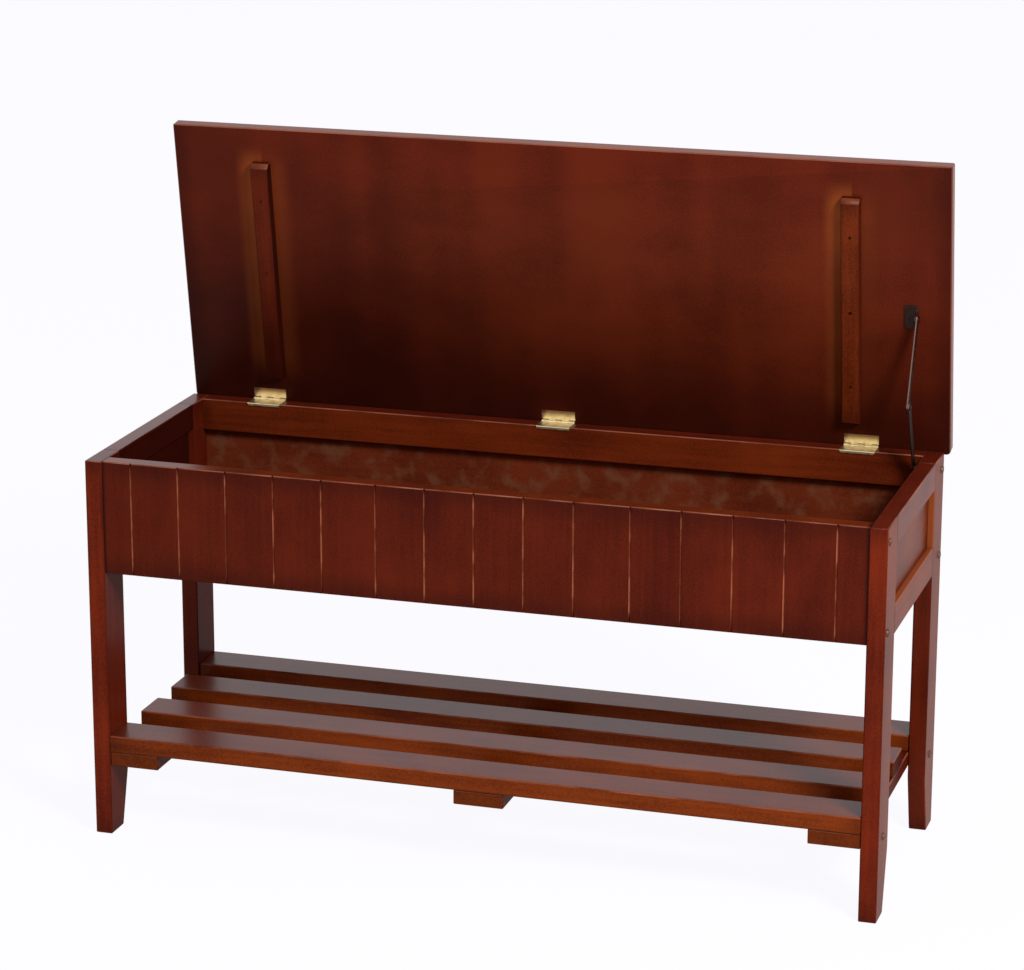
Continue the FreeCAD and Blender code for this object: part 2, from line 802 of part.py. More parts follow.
def save_frame():
    """Legs, ends, front, back and bottom of the box."""
    front_leg, rear_leg = leg(1), leg(-1)
    save("leg_front_right", front_leg)
    save("leg_front_left", mirrored_x(front_leg))
    save("leg_rear_right", cut_all(rear_leg, box_bracket_screws()))
    save("leg_rear_left", mirrored_x(rear_leg))
    for name, piece in (("end_top_rail", end_top_rail()), ("end_bottom_rail", end_bottom_rail()),
                        ("end_panel", end_panel())):
        save(name + "_right", piece)
        save(name + "_left", mirrored_x(piece))
    save("front_panel", front_panel())
    save("back_top_rail", back_top_rail())
    save("back_bottom_rail", back_bottom_rail())
    save("back_panel", back_panel())
    save("box_bottom", box_bottom())
    bolts, nuts = bolts_and_nuts()
    save("leg_bolts", bolts)
    save("barrel_nuts", nuts)


def save_shelf():
    """Slats, cross members and their screws."""
    screws = []
    for index in range(slat_count):
        save("shelf_slat_%d" % (index + 1), shelf_slat(index))
        for centre in cross_centres():
            screws += slat_screws(index, centre)
    left, middle, right = cross_centres()
    save("cross_member_left", bolted_cross_member(left))
    save("cross_member_middle", cross_member(middle))
    save("cross_member_right", bolted_cross_member(right))
    save("slat_screws", screws)


def save_lid():
    """Lid, battens and hinges, opened."""
    save("lid_panel", opened(lid_panel()))
    screws = []
    for place, x in zip(("left", "right"), batten_centres()):
        save("lid_batten_" + place, opened(batten(x)))
        screws += [opened(s) for s in batten_screws(x)]
    save("batten_screws", screws)
    box_screws, lid_screws = [], []
    for place, x in zip(("left", "middle", "right"), hinge_centres()):
        save("hinge_box_leaf_" + place, box_leaf(x))
        save("hinge_lid_leaf_" + place, opened(lid_leaf(x)))
        save("hinge_pin_" + place, hinge_pin(x))
        box_screws += box_leaf_screws(x)
        lid_screws += [opened(s) for s in lid_leaf_screws(x)]
    save("hinge_box_screws", box_screws)
    save("hinge_lid_screws", lid_screws)


def save_stay():
    """The folding stay, open."""
    save("stay_lid_bracket", opened(stay_lid_bracket()))
    save("stay_lid_screws", [opened(s) for s in lid_bracket_screws()])
    save("stay_lid_rivet", opened(stay_lid_rivet()))
    save("stay_upper_link", stay_upper_link())
    save("stay_lower_link", stay_lower_link())
    inner, outer = stay_elbow_rivets()
    save("stay_elbow_rivet_inner", inner)
    save("stay_elbow_rivet_outer", outer)
    save("stay_box_stud", stay_box_stud())
    save("stay_box_bracket", stay_box_bracket())
    save("stay_box_screws", box_bracket_screws())


os.makedirs("parts", exist_ok=True)
save_frame()
save_shelf()
save_lid()
save_stay()
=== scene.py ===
"""Looks of the shoe storage bench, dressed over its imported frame.

Laid out as an add-on and run as a script. Metres, in the frame of the part: +X to the right, the front
faces -Y, +Z up, origin on the floor. The bench stands with its lid open.
"""

import json
import math
import random

import bmesh
import bpy
from bpy.props import FloatProperty, FloatVectorProperty, PointerProperty
from mathutils import Matrix, Vector

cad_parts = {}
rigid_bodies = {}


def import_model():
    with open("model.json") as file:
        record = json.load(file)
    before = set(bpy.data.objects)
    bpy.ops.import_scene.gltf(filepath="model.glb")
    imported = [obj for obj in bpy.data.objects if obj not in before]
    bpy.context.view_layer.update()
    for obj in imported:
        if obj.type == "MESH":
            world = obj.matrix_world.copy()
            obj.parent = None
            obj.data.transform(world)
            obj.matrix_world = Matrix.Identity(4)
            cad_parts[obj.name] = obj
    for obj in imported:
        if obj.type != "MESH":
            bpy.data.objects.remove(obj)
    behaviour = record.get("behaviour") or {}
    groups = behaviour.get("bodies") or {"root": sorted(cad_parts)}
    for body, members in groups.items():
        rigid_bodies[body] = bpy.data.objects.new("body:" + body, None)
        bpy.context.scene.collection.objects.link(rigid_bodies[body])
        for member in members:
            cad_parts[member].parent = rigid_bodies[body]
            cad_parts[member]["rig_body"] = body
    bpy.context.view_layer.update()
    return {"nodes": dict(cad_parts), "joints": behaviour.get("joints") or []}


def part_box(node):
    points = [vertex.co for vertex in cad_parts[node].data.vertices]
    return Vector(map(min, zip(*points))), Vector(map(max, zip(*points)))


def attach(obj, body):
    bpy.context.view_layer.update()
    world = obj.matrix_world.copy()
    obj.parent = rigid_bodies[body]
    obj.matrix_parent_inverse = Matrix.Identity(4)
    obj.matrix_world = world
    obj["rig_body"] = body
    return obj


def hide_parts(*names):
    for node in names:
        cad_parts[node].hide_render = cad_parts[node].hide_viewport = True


bl_info = {
    "name": "Shoe storage bench",
    "version": (1, 0, 0),
    "blender": (4, 5, 0),
    "location": "3D View > Sidebar > Bench",
    "description": "Dresses the bench's construction model with its boards, fasteners and finishes",
    "category": "Object",
}

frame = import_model()
NODES = frame["nodes"]

MM = 0.001
X, Y, Z = Vector((1, 0, 0)), Vector((0, 1, 0)), Vector((0, 0, 1))
PLACES = ("left", "middle", "right")
OUTWARD = {"left": -X, "right": X}

LID_HINGE = next(j for j in frame["joints"] if j["name"] == "lid_hinge")
LID_TURN = Matrix.Rotation(-math.radians(LID_HINGE["range_deg"][1]), 3, "X")
LID_BACK = LID_TURN @ Y
LID_OUT = LID_TURN @ Z

# How far apart points may be and still count as one, and as level
SAME_PLACE = 0.002 * MM
SAME_LEVEL = 0.01 * MM
# Turns between faces: still flat, an edge to round, and a crease in the shading
FLAT_ANGLE = math.radians(0.5)
EDGE_ANGLE = math.radians(38)
CREASE_ANGLE = math.radians(40)
# How nearly a face points along a way, as a cosine
SLIGHTLY, ROUGHLY, MOSTLY, FULLY = 0.2, 0.7, 0.9, 0.99
# Shortest edges that are rounded, so that the rims of holes are left
LONG_BOARD_EDGE = 6 * MM
LONG_METAL_EDGE = 3 * MM
# Length, width and depth of a screw's cross recess as shares of its head's radius
CROSS_RECESS = 1.15, 0.26, 0.7
# Length of a tool that cuts right through a round bar, as a share of the bar's radius
RIGHT_THROUGH = 2.4
# Barrel nuts farther below the box than this are those of the shelf
BELOW_BOX = 50 * MM
# Faces this far beyond a groove's depth still count as its own
GROOVE_PLAY = 0.05 * MM
# Layout of the nodes in a tree's window
NODES_IN_ROW, NODE_WIDTH, NODE_HEIGHT = 10, 190, 260


def shade(red, green, blue):
    """A display colour of 0 to 255 as the linear colour that Blender keeps."""
    parts = [v / 255 for v in (red, green, blue)]
    return [p / 12.92 if p <= 0.04045 else ((p + 0.055) / 1.055) ** 2.4 for p in parts] + [1.0]


def size_of(node):
    """Length, depth and height of a node."""
    low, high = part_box(node)
    return high - low


def middle_of(node):
    """Middle of a node's box."""
    low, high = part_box(node)
    return (low + high) / 2


# Settings

def colour(name, description, *parts):
    """A colour setting, from its display parts of 0 to 255."""
    return FloatVectorProperty(name=name, description=description, subtype="COLOR", size=4, min=0, max=1,
                               default=shade(*parts))


def strength(name, description, default, **options):
    """A setting from 0 up."""
    return FloatProperty(name=name, description=description, default=default, min=0, **options)


def length(name, description, default):
    """A length setting in metres."""
    return strength(name, description, default, unit="LENGTH", precision=5)


def share(name, description, default):
    """A setting from 0 to 1."""
    return strength(name, description, default, max=1, subtype="FACTOR")


def angle(name, description, degrees):
    """An angle setting."""
    return FloatProperty(name=name, description=description, default=math.radians(degrees), subtype="ANGLE")


def place(name, description, default):
    """A place setting."""
    return FloatVectorProperty(name=name, description=description, default=default, subtype="TRANSLATION")


class BenchWood(bpy.types.PropertyGroup):
    """Stain and lacquer of the boards."""
    stain: colour("Stain", "Main tone of the mahogany stain", 106, 34, 15)
    dark_stain: colour("Dark stain", "Stain where it has soaked in", 72, 19, 9)
    warm_tone: colour("Warm faces", "Orange brown of the slats' and back rail's faces", 150, 66, 20)
    warm_dark: colour("Warm faces dark", "Darker streaks of the warm faces", 96, 36, 13)
    red_tone: colour("Red faces", "Redder stain of the front legs' faces", 158, 50, 20)
    red_dark: colour("Red faces dark", "Darker streaks of the red faces", 98, 26, 11)
    # Also painted shade: the ends' inner faces, the battens' lower ends and the front panel's ends are
    # darkened to this colour
    edge_stain: colour("Edge stain", "Stain that gathers at edges and ends", 38, 9, 6)
    # Painted highlight: this pale tone stands in for the sheen on upper edges and on the lid's edge faces
    edge_highlight_tone: colour("Edge highlight", "Stain that is rubbed thin on upper edges", 176, 104, 78)
    lid_tone: colour("Lid middle", "Warmer tone in the middle of the lid", 116, 43, 20)
    lid_rim: colour("Lid rim", "Redder tone along the lid's edges", 108, 37, 18)
    lid_dark: colour("Lid dark", "Darker clouds of the lid's stain", 58, 14, 8)
    halo_tone: colour("Batten halo", "Thin stain beside the battens", 192, 96, 43)
    # Painted shade: this dark tone stands in for the shade on the lid's inner face toward the hinges and the
    # left
    hinge_shade_tone: colour("Hinge shade", "Stain of the lid's inner side near its hinges", 26, 6, 5)
    # Painted light: this orange stands in for the light on the faces inside the end recesses
    recess_light_tone: colour("Recess", "Thin orange stain in the recesses of the ends", 160, 82, 44)
    groove_tone: colour("Grooves", "Bare wood in the plank grooves", 194, 116, 82)
    ply_light: colour("Plywood light", "Light patches of the plywood", 124, 52, 27)
    ply_dark: colour("Plywood dark", "Dark patches of the plywood", 88, 33, 18)
    ply_grey: colour("Plywood dust", "Dusty patches of the plywood", 124, 80, 56)
    gloss: share("Lacquer roughness", "Roughness of the satin lacquer", 0.3)
    ply_gloss: share("Plywood roughness", "Roughness of the thin lacquer on plywood", 0.55)
    lacquer: share("Lacquer", "Coat of lacquer where it is fullest", 1.0)
    side_lacquer: share("Outer lacquer", "Coat on the outer faces of the ends", 0.46)
    inner_lacquer: share("Inner lacquer", "Coat on all other faces", 0.25)


class BenchMetal(bpy.types.PropertyGroup):
    """Finishes of the hinges, stay, bolts and screws."""
    brass: colour("Brass", "Polished brass", 247, 230, 186)
    brass_dull: colour("Dull brass", "Brass where it has dulled", 208, 178, 124)
    brass_brown: colour("Browned brass", "Brass browned by stain, far from the pins", 128, 88, 60)
    stay: colour("Stay", "Dark bronzed steel of the stay", 60, 46, 41)
    stay_rubbed: colour("Stay edges", "Rubbed edges of the stay", 118, 92, 84)
    bolt: colour("Bolts", "Bronzed bolt heads", 104, 82, 70)
    zinc: colour("Screws", "Plated screws and nuts", 176, 172, 164)
    stained: colour("Stained screws", "Stain over the screws of the battens", 74, 30, 18)


class BenchDetail(bpy.types.PropertyGroup):
    """Small sizes that the frame doesn't state."""
    rounding: length("Board rounding", "Rounding along the edges of boards", 0.4 * MM)
    slat_rounding: length("Slat rounding", "Rounding along the edges of slats", 1.5 * MM)
    metal_rounding: length("Metal rounding", "Rounding along the edges of plates", 0.15 * MM)
    groove_depth: length("Groove depth", "Depth of a plank groove", 1.8 * MM)
    bare_depth: length("Bare depth", "How deep in a groove the bare wood starts", 0.1 * MM)
    bare_end: length("Groove ends", "How far from a plank's end the bare wood fades", 14 * MM)
    # Painted shade: the darkening at the front panel's ends stands in for the shade where the panel meets the
    # legs
    shade_width: length("Panel ends", "How far the dark stain reaches at the front panel's ends", 5 * MM)
    edge_width: length("Edge stain", "How far the gathered stain reaches from an edge", 2.6 * MM)
    end_width: length("End stain", "How far the gathered stain reaches from a board's end", 30 * MM)
    rim_width: length("Lid rim", "How far the redder tone reaches from the lid's edges", 120 * MM)
    halo_width: length("Halo", "How far the thin stain reaches from a batten", 26 * MM)
    brown_start: length("Browning start", "How far from its pin a lid leaf starts to brown", 5 * MM)
    brown_end: length("Browning end", "How far from its pin a lid leaf is fully browned", 13 * MM)
    wood_pores: length("Wood pores", "Depth of the grain under the lacquer", 0.12 * MM)
    lid_pores: length("Lid pores", "Depth of the lid's grain", 0.08 * MM)
    ply_pores: length("Plywood pores", "Depth of the plywood's grain", 0.1 * MM)
    brush_lines: length("Brush lines", "Depth of the fine lines on metal", 0.02 * MM)
    nut_slot: length("Nut slot", "Width of the slot in a barrel nut", 1.4 * MM)
    bore_play: length("Bore play", "Room round a bolt in its barrel nut", 0.2 * MM)
    socket_radius: length("Hex socket", "Radius of the hexagon socket in a bolt", 2.1 * MM)
    socket_depth: length("Socket depth", "Depth of the hexagon socket", 1.2 * MM)


class BenchStudio(bpy.types.PropertyGroup):
    """Camera, floor and light."""
    lens: FloatProperty(name="Lens", description="Focal length", default=122.92, min=1, unit="CAMERA")
    camera_place: place("Camera place", "Where the camera stands", (1.1039, -3.6214, 1.4655))
    yaw: angle("Yaw", "Turn of the camera to its left", 17.07)
    pitch: angle("Pitch", "Tilt of the camera below level", 15.63)
    roll: angle("Roll", "Roll of the camera", 0.11)
    white: colour("White", "White of the floor and the surround where they are seen", 252, 251, 255)
    floor_radius: length("Floor radius", "Radius of the round floor", 30.0)
    floor_glow: strength("Floor glow", "White of the floor before its shadow", 0.962)
    floor_shadow: share("Floor shadow", "How much of the shadow the floor shows", 0.08)
    surround: strength("Surround light", "Level light from all round", 0.5)
    key_power: strength("Key light", "Power of the lamp", 78.0, subtype="POWER")
    key_size: length("Key size", "Width of the lamp's disk", 0.9)
    key_place: place("Key place", "Where the lamp hangs", (2.1, -1.9, 2.4))
    key_aim: place("Key aim", "What the lamp points at", (0.0, 0.0, 0.4))


def settings(name):
    """A group of the bench's settings."""
    return getattr(bpy.context.scene, "bench_" + name)


# Drawing node trees

class Wire:
    """An output of a node. Sums on it are written as plain ones, and its items are the other outputs."""

    def __init__(self, drawing, node, key=0):
        self.drawing, self.node, self.key = drawing, node, key

    def __getitem__(self, key):
        return Wire(self.drawing, self.node, key)

    def __add__(self, other):
        return self.drawing.math("ADD", self, other)

    def __radd__(self, other):
        return self.drawing.math("ADD", other, self)

    def __sub__(self, other):
        return self.drawing.math("SUBTRACT", self, other)

    def __rsub__(self, other):
        return self.drawing.math("SUBTRACT", other, self)

    def __mul__(self, other):
        return self.drawing.math("MULTIPLY", self, other)

    def __truediv__(self, other):
        return self.drawing.math("DIVIDE", self, other)

    def __abs__(self):
        return self.drawing.math("ABSOLUTE", self)


class Drawing:
    """Adds and joins the nodes of one tree."""

    def __init__(self, tree):
        self.tree = tree

    def add(self, kind, inputs=None, **options):
        """A new node's first output. An input is a value, a wire or a list of wires."""
        node = self.tree.nodes.new(kind)
        row, column = divmod(len(self.tree.nodes) - 1, NODES_IN_ROW)
        node.location = (column * NODE_WIDTH, -row * NODE_HEIGHT)
        for name, value in options.items():
            setattr(node, name, value)
        for key, value in (inputs or {}).items():
            wires = value if isinstance(value, list) else [value]
            if isinstance(wires[0], Wire):
                for wire in wires:
                    self.tree.links.new(wire.node.outputs[wire.key], node.inputs[key])
            else:
                node.inputs[key].default_value = value
        return Wire(self, node)

    def math(self, operation, *values):
        """A sum on numbers."""
        return self.add("ShaderNodeMath", dict(enumerate(values)), operation=operation)

    def larger(self, a, b):
        """The larger of two numbers."""
        return self.math("MAXIMUM", a, b)

    def vector(self, operation, *values):
        """A sum on vectors that gives a vector."""
        return self.add("ShaderNodeVectorMath", dict(enumerate(values)), operation=operation)

    def dot(self, a, b):
        """The length of one vector along another."""
        return self.vector("DOT_PRODUCT", a, b)["Value"]

    def step(self, value, low, high):
        """A soft step from 0 at low to 1 at high."""
        return self.add("ShaderNodeMapRange", {0: value, 1: low, 2: high}, interpolation_type="SMOOTHSTEP")

    def join(self, x, y, z):
        """A vector of three numbers."""
        return self.add("ShaderNodeCombineXYZ", {0: x, 1: y, 2: z})

    def split(self, vector):
        """The three numbers of a vector."""
        parts = self.add("ShaderNodeSeparateXYZ", {0: vector})
        return parts[0], parts[1], parts[2]

    def mix(self, factor, a, b):
        """One colour laid over another."""
        return self.add("ShaderNodeMix", {0: factor, 6: a, 7: b}, data_type="RGBA")[2]

    def noise(self, point, scale, detail=2.0, stretch=None):
        """Soft noise from 0 to 1, stretched by a vector where one is given."""
        if stretch:
            point = self.vector("MULTIPLY", point, stretch)
        return self.add("ShaderNodeTexNoise", {"Vector": point, "Scale": scale, "Detail": detail})["Fac"]

    def attribute(self, name, kind="Fac"):
        """A value kept on the mesh."""
        return self.add("ShaderNodeAttribute", attribute_name=name)[kind]

    def here(self):
        """The shaded point on its object."""
        return self.add("ShaderNodeTexCoord")["Object"]

    def group(self, maker, inputs=None):
        """A shared effect with its inputs."""
        return self.add("ShaderNodeGroup", inputs, node_tree=once(maker))

    def close(self, outputs):
        """Joins a group's results to its outputs, and gives the group."""
        self.add("NodeGroupOutput", outputs)
        return self.tree


def new_group(name, kind, inputs, outputs):
    """A node group whose sockets are named by kind: its drawing and its inputs."""
    tree = bpy.data.node_groups.new(name, kind + "NodeTree")
    for in_out, sockets in (("INPUT", inputs), ("OUTPUT", outputs)):
        for socket, labels in sockets.items():
            for label in labels:
                tree.interface.new_socket(name=label, in_out=in_out, socket_type="NodeSocket" + socket)
    draw = Drawing(tree)
    return draw, draw.add("NodeGroupInput")


MADE = {}


def once(maker):
    """What a function makes, made the first time that it is asked for."""
    if maker not in MADE:
        MADE[maker] = maker()
    return MADE[maker]


# Shared effects of the finishes

def board_place():
    """Where a point lies on its board: along the grain, across it and through it, from the board's middle."""
    draw, _ = new_group("Board place", "Shader", {}, {
        "Vector": ["Place"], "Float": ["Edge gap", "Rim gap", "End gap", "Seed"]})
    along, face = draw.attribute("grain_along", "Vector"), draw.attribute("grain_face", "Vector")
    across = draw.vector("CROSS_PRODUCT", face, along)
    from_middle = draw.vector("SUBTRACT", draw.here(), draw.attribute("board_centre", "Vector"))
    point = draw.join(*[draw.dot(from_middle, way) for way in (along, across, face)])
    half = draw.attribute("board_half", "Vector")
    end_gap, side_gap, face_gap = draw.split(draw.vector("SUBTRACT", half, draw.vector("ABSOLUTE", point)))
    near, far = draw.math("MINIMUM", end_gap, side_gap), draw.larger(end_gap, side_gap)
    edge_gap = draw.larger(near, draw.math("MINIMUM", far, face_gap))
    return draw.close({"Place": point, "Edge gap": edge_gap, "Rim gap": near, "End gap": end_gap,
                       "Seed": draw.attribute("board_seed")})


def shifted(draw, board, way):
    """A board's place, shifted by its seed so that no two boards look alike."""
    return draw.vector("ADD", board["Place"], draw.join(*[board["Seed"] * part for part in way]))


def stained_grain():
    """Stained wood: long streaks, short pores, fine flecks, soft cross figure and cloudy stain."""
    draw, inside = new_group(
        "Stained grain", "Shader",
        {"Vector": ["Place"], "Color": ["Light", "Dark"], "Float": ["Seed", "Figure", "Streaks"]},
        {"Color": ["Colour"], "Float": ["Roughness", "Height"]})
    point = shifted(draw, inside, (3.1, 5.7, 2.3))
    sway = draw.noise(point, 5.0, 1.0) * 0.012
    swayed = draw.vector("ADD", point, draw.join(0.0, sway, 0.0))
    clouds = draw.noise(point, 12.0, 3.0, (0.8, 1.2, 1.2))
    figure = draw.noise(point, 1.0, 1.0, (17.0, 1.6, 1.6))
    streaks = draw.noise(swayed, 1.0, 4.0, (7.0, 190.0, 190.0))
    flecks = draw.noise(point, 620.0)
    pores = draw.step(draw.noise(swayed, 1.0, 1.0, (95.0, 1500.0, 1500.0)), 0.66, 0.8)
    tone = 0.55
    for pattern, amount in ((clouds, 1.1), (figure, inside["Figure"]), (streaks, inside["Streaks"]),
                            (flecks, 1.0)):
        tone = tone + (pattern - 0.5) * amount
    tone = tone - pores * 0.25
    return draw.close({"Colour": draw.mix(draw.step(tone, 0.0, 1.0), inside["Dark"], inside["Light"]),
                       "Roughness": (clouds - 0.5) * 0.16, "Height": streaks * 0.35 - pores * 0.65})


def edge_stain():
    """Where stain has gathered along a board's edges and at its ends, and a painted highlight on upper edges.
    """
    draw, inside = new_group(
        "Edge stain", "Shader",
        {"Vector": ["Place"], "Float": ["Edge gap", "End gap", "Edge width", "End width", "Seed"]},
        {"Float": ["Gathered", "Rubbed"]})
    point = shifted(draw, inside, (1.7, 0.9, 4.1))
    uneven = draw.noise(point, 30.0, 3.0) * 1.2 + 0.4
    at_edge = 1.0 - draw.step(inside["Edge gap"], 0.0, inside["Edge width"] * uneven)
    at_end = 1.0 - draw.step(inside["End gap"], 0.0, inside["End width"] * uneven)
    # The bright mark is a painted highlight on upper edges, broken by noise
    broken = draw.step(draw.noise(point, 16.0, 3.0), 0.3, 0.66)
    return draw.close({"Gathered": draw.larger(at_edge * 0.75, at_end * 0.6),
                       "Rubbed": draw.attribute("arris") * broken})


def metal_marks():
    """Dull patches and fine brush lines on metal."""
    draw, inside = new_group("Metal marks", "Shader", {"Color": ["Clean", "Dull"], "Float": ["Dulling"]},
                             {"Color": ["Colour"], "Float": ["Roughness", "Height"]})
    brushed = draw.noise(draw.here(), 1.0, 2.0, (120.0, 2600.0, 2600.0))
    dulled = draw.step(draw.noise(draw.here(), 150.0, 3.0), 0.4, 0.75) * inside["Dulling"]
    return draw.close({"Colour": draw.mix(dulled, inside["Clean"], inside["Dull"]),
                       "Roughness": dulled * 0.25 + brushed * 0.08, "Height": brushed})


# Materials

def new_material(name):
    """An empty material and its drawing."""
    material = bpy.data.materials.new(name)
    material.use_nodes = True
    material.node_tree.nodes.clear()
    return material, Drawing(material.node_tree)


def board_material(name):
    """An empty material, its drawing and the place of the shaded point on its board."""
    material, draw = new_material(name)
    return material, draw, draw.group(board_place)


def grain(draw, board, light, dark, figure, streaks):
    """Stained grain on a board."""
    return draw.group(stained_grain, {"Place": board["Place"], "Seed": board["Seed"], "Light": light,
                                      "Dark": dark, "Figure": figure, "Streaks": streaks})


def tones(draw, *marks):
    """The light and dark stain of solid wood, changed where faces are marked."""
    wood = settings("wood")
    light, dark = wood.stain, wood.dark_stain
    for mark in marks:
        marked = draw.attribute(mark)
        light = draw.mix(marked, light, getattr(wood, mark + "_tone"))
        dark = draw.mix(marked, dark, getattr(wood, mark + "_dark"))
    return light, dark


def edged(draw, board, stained):
    """A board's colour with stain gathered along its edges, less under lacquer, and a painted highlight on
    upper ones.
    """
    wood, detail = settings("wood"), settings("detail")
    marks = draw.group(edge_stain, {
        "Edge width": detail.edge_width, "End width": detail.end_width,
        **{label: board[label] for label in ("Place", "Edge gap", "End gap", "Seed")}})
    plain = 1.0 - draw.step(draw.attribute("lacquer"), 0.3, 0.42) * 0.75
    darker = draw.mix(marks["Gathered"] * 0.7 * plain, stained["Colour"], wood.edge_stain)
    # Painted highlight on the upper edges
    return draw.mix(marks["Rubbed"] * 0.6, darker, wood.edge_highlight_tone)


def lacquered(draw, colour_wire, stained, gloss, depth):
    """The surface of a stained board under its clear lacquer."""
    bump = draw.add("ShaderNodeBump", {"Height": stained["Height"], "Distance": depth, "Strength": 0.3})
    surface = draw.add("ShaderNodeBsdfPrincipled", {
        "Base Color": colour_wire, "Roughness": stained["Roughness"] + gloss, "Specular IOR Level": 0.0,
        "Coat Weight": draw.attribute("lacquer") * settings("wood").lacquer, "Coat Roughness": gloss,
        "Coat IOR": 1.28, "Normal": bump, "Coat Normal": bump})
    draw.add("ShaderNodeOutputMaterial", {"Surface": surface})


def stained_wood():
    """Stained solid wood of the legs, rails, slats and battens, with painted light in the end recesses and
    painted shade on the ends' inner faces and the battens.
    """
    wood = settings("wood")
    material, draw, board = board_material("Stained wood")
    stained = grain(draw, board, *tones(draw, "warm", "red"), figure=0.35, streaks=0.7)
    # Painted light on the faces inside the end recesses
    thin = draw.mix(draw.attribute("recess"), edged(draw, board, stained), wood.recess_light_tone)
    # Painted shade on the battens, darkening toward their ends at the hinges
    half = draw.split(draw.attribute("board_half", "Vector"))[0]
    to_far_end = draw.step(draw.split(board["Place"])[0], half * 0.2, half * 0.7)
    # Painted shade: the ends' inner faces and the battens' lower ends darken to the edge stain colour
    faded = draw.larger(draw.attribute("soaked"), draw.attribute("sunk") * to_far_end)
    soaked = draw.mix(faded, thin, wood.edge_stain)
    lacquered(draw, soaked, stained, wood.gloss, settings("detail").wood_pores)
    return material


def plank_wood():
    """The front panel's wood, with thin broken lines of bare wood in its grooves."""
    wood, detail = settings("wood"), settings("detail")
    material, draw, board = board_material("Plank front")
    stained = grain(draw, board, *tones(draw, "warm"), figure=0.25, streaks=0.45)
    _, across, through = draw.split(board["Place"])
    size = size_of("front_panel")
    # Painted shade at the panel's ends, where it meets the legs
    at_end = 0.85 - draw.step(size.x / 2 - abs(across), 0.0, detail.shade_width) * 0.85
    shaded = draw.mix(at_end, edged(draw, board, stained), wood.edge_stain)
    deep = draw.step(through + size.y / 2, detail.bare_depth, detail.groove_depth * 0.6)
    patches = draw.noise(shifted(draw, board, (0.0, 3.0, 0.0)), 1.0, 3.0, (26.0, 13.0, 13.0))
    broken = draw.step(patches, 0.38, 0.62)
    inside_ends = draw.step(board["End gap"], 0.0, detail.bare_end)
    bare = deep * (broken * 0.72 + 0.18) * inside_ends * draw.attribute("groove")
    lacquered(draw, draw.mix(bare, shaded, wood.groove_tone), stained, wood.gloss, detail.wood_pores)
    return material


def lid_wood():
    """The lid's board: warm in the middle, with painted shade toward its hinges and left, thin stain by the
    battens, and a painted reflection on its edge faces.
    """
    wood, detail = settings("wood"), settings("detail")
    material, draw, board = board_material("Lid board")
    along, across, through = draw.split(board["Place"])
    reach, lid_half = size_of("lid_panel").x / 2, size_of("lid_panel").z / 2
    half = draw.split(draw.attribute("board_half", "Vector"))[2]
    inner = 1.0 - draw.step(through, half * -1.0, half)
    middle = draw.step(board["Rim gap"], 0.0, detail.rim_width) * draw.step(along, -reach, -reach * 0.1)
    light = draw.mix(middle, wood.lid_rim, wood.lid_tone)
    stained = grain(draw, board, light, draw.mix(0.6, light, wood.lid_dark), figure=1.5, streaks=0.1)
    # Painted shade: the inner face darkens toward the hinges and to the left; the upper corners are darkened
    # as well
    to_hinges = across / lid_half + draw.noise(board["Place"], 7.0, 3.0) * 0.9 - along * (0.4 / reach)
    dark = draw.step(to_hinges, -0.25, 1.65) * 0.78 * inner
    far_side = 1.0 - draw.step(across, -reach * 0.3, 0.0)
    corner = draw.step(abs(along), reach * 0.6, reach * 0.97) * far_side * 0.3 * inner
    sunk = draw.mix(draw.larger(dark, corner), edged(draw, board, stained), wood.hinge_shade_tone)
    batten = size_of("lid_batten_right") / 2
    halo = 0.0
    for end, on_left, on_right, fading in (("left", 1.0, 0.3, 0.0), ("right", 1.05, 0.15, 0.6)):
        beside = along - (middle_of("lid_batten_" + end) - middle_of("lid_panel")).x
        near = 1.0 - draw.step(abs(beside), batten.x, batten.x + detail.halo_width)
        side = (on_left + on_right) / 2 - draw.math("SIGN", beside) * ((on_left - on_right) / 2)
        lasting = 1.0 - draw.step(across, -batten.z, 0.0) * fading
        halo = draw.larger(halo, near * side * lasting)
    level = 1.0 - draw.step(abs(across), batten.z * 0.8, batten.z * 1.15)
    cloud = draw.noise(board["Place"], 16.0) * 0.8 + 0.4
    haloed = draw.mix(halo * level * cloud * (1.0 - dark * 0.7) * inner, sunk, wood.halo_tone)
    # Painted reflection: the lid's edge faces, marked warm, are lightened to the pale edge tone
    highlighted = draw.mix(draw.attribute("warm"), haloed, wood.edge_highlight_tone)
    lacquered(draw, highlighted, stained, wood.gloss, detail.lid_pores)
    return material


def stained_plywood():
    """Mottled brown plywood under a thin lacquer, dusty in patches."""
    wood = settings("wood")
    material, draw, board = board_material("Stained plywood")
    stained = grain(draw, board, wood.ply_light, wood.ply_dark, figure=0.4, streaks=0.4)
    dust = draw.step(draw.noise(board["Place"], 42.0, 6.0), 0.46, 0.7) * (0.6 - draw.attribute("soaked"))
    mottled = draw.mix(dust, stained["Colour"], wood.ply_grey)
    lacquered(draw, mottled, stained, wood.ply_gloss, settings("detail").ply_pores)
    return material


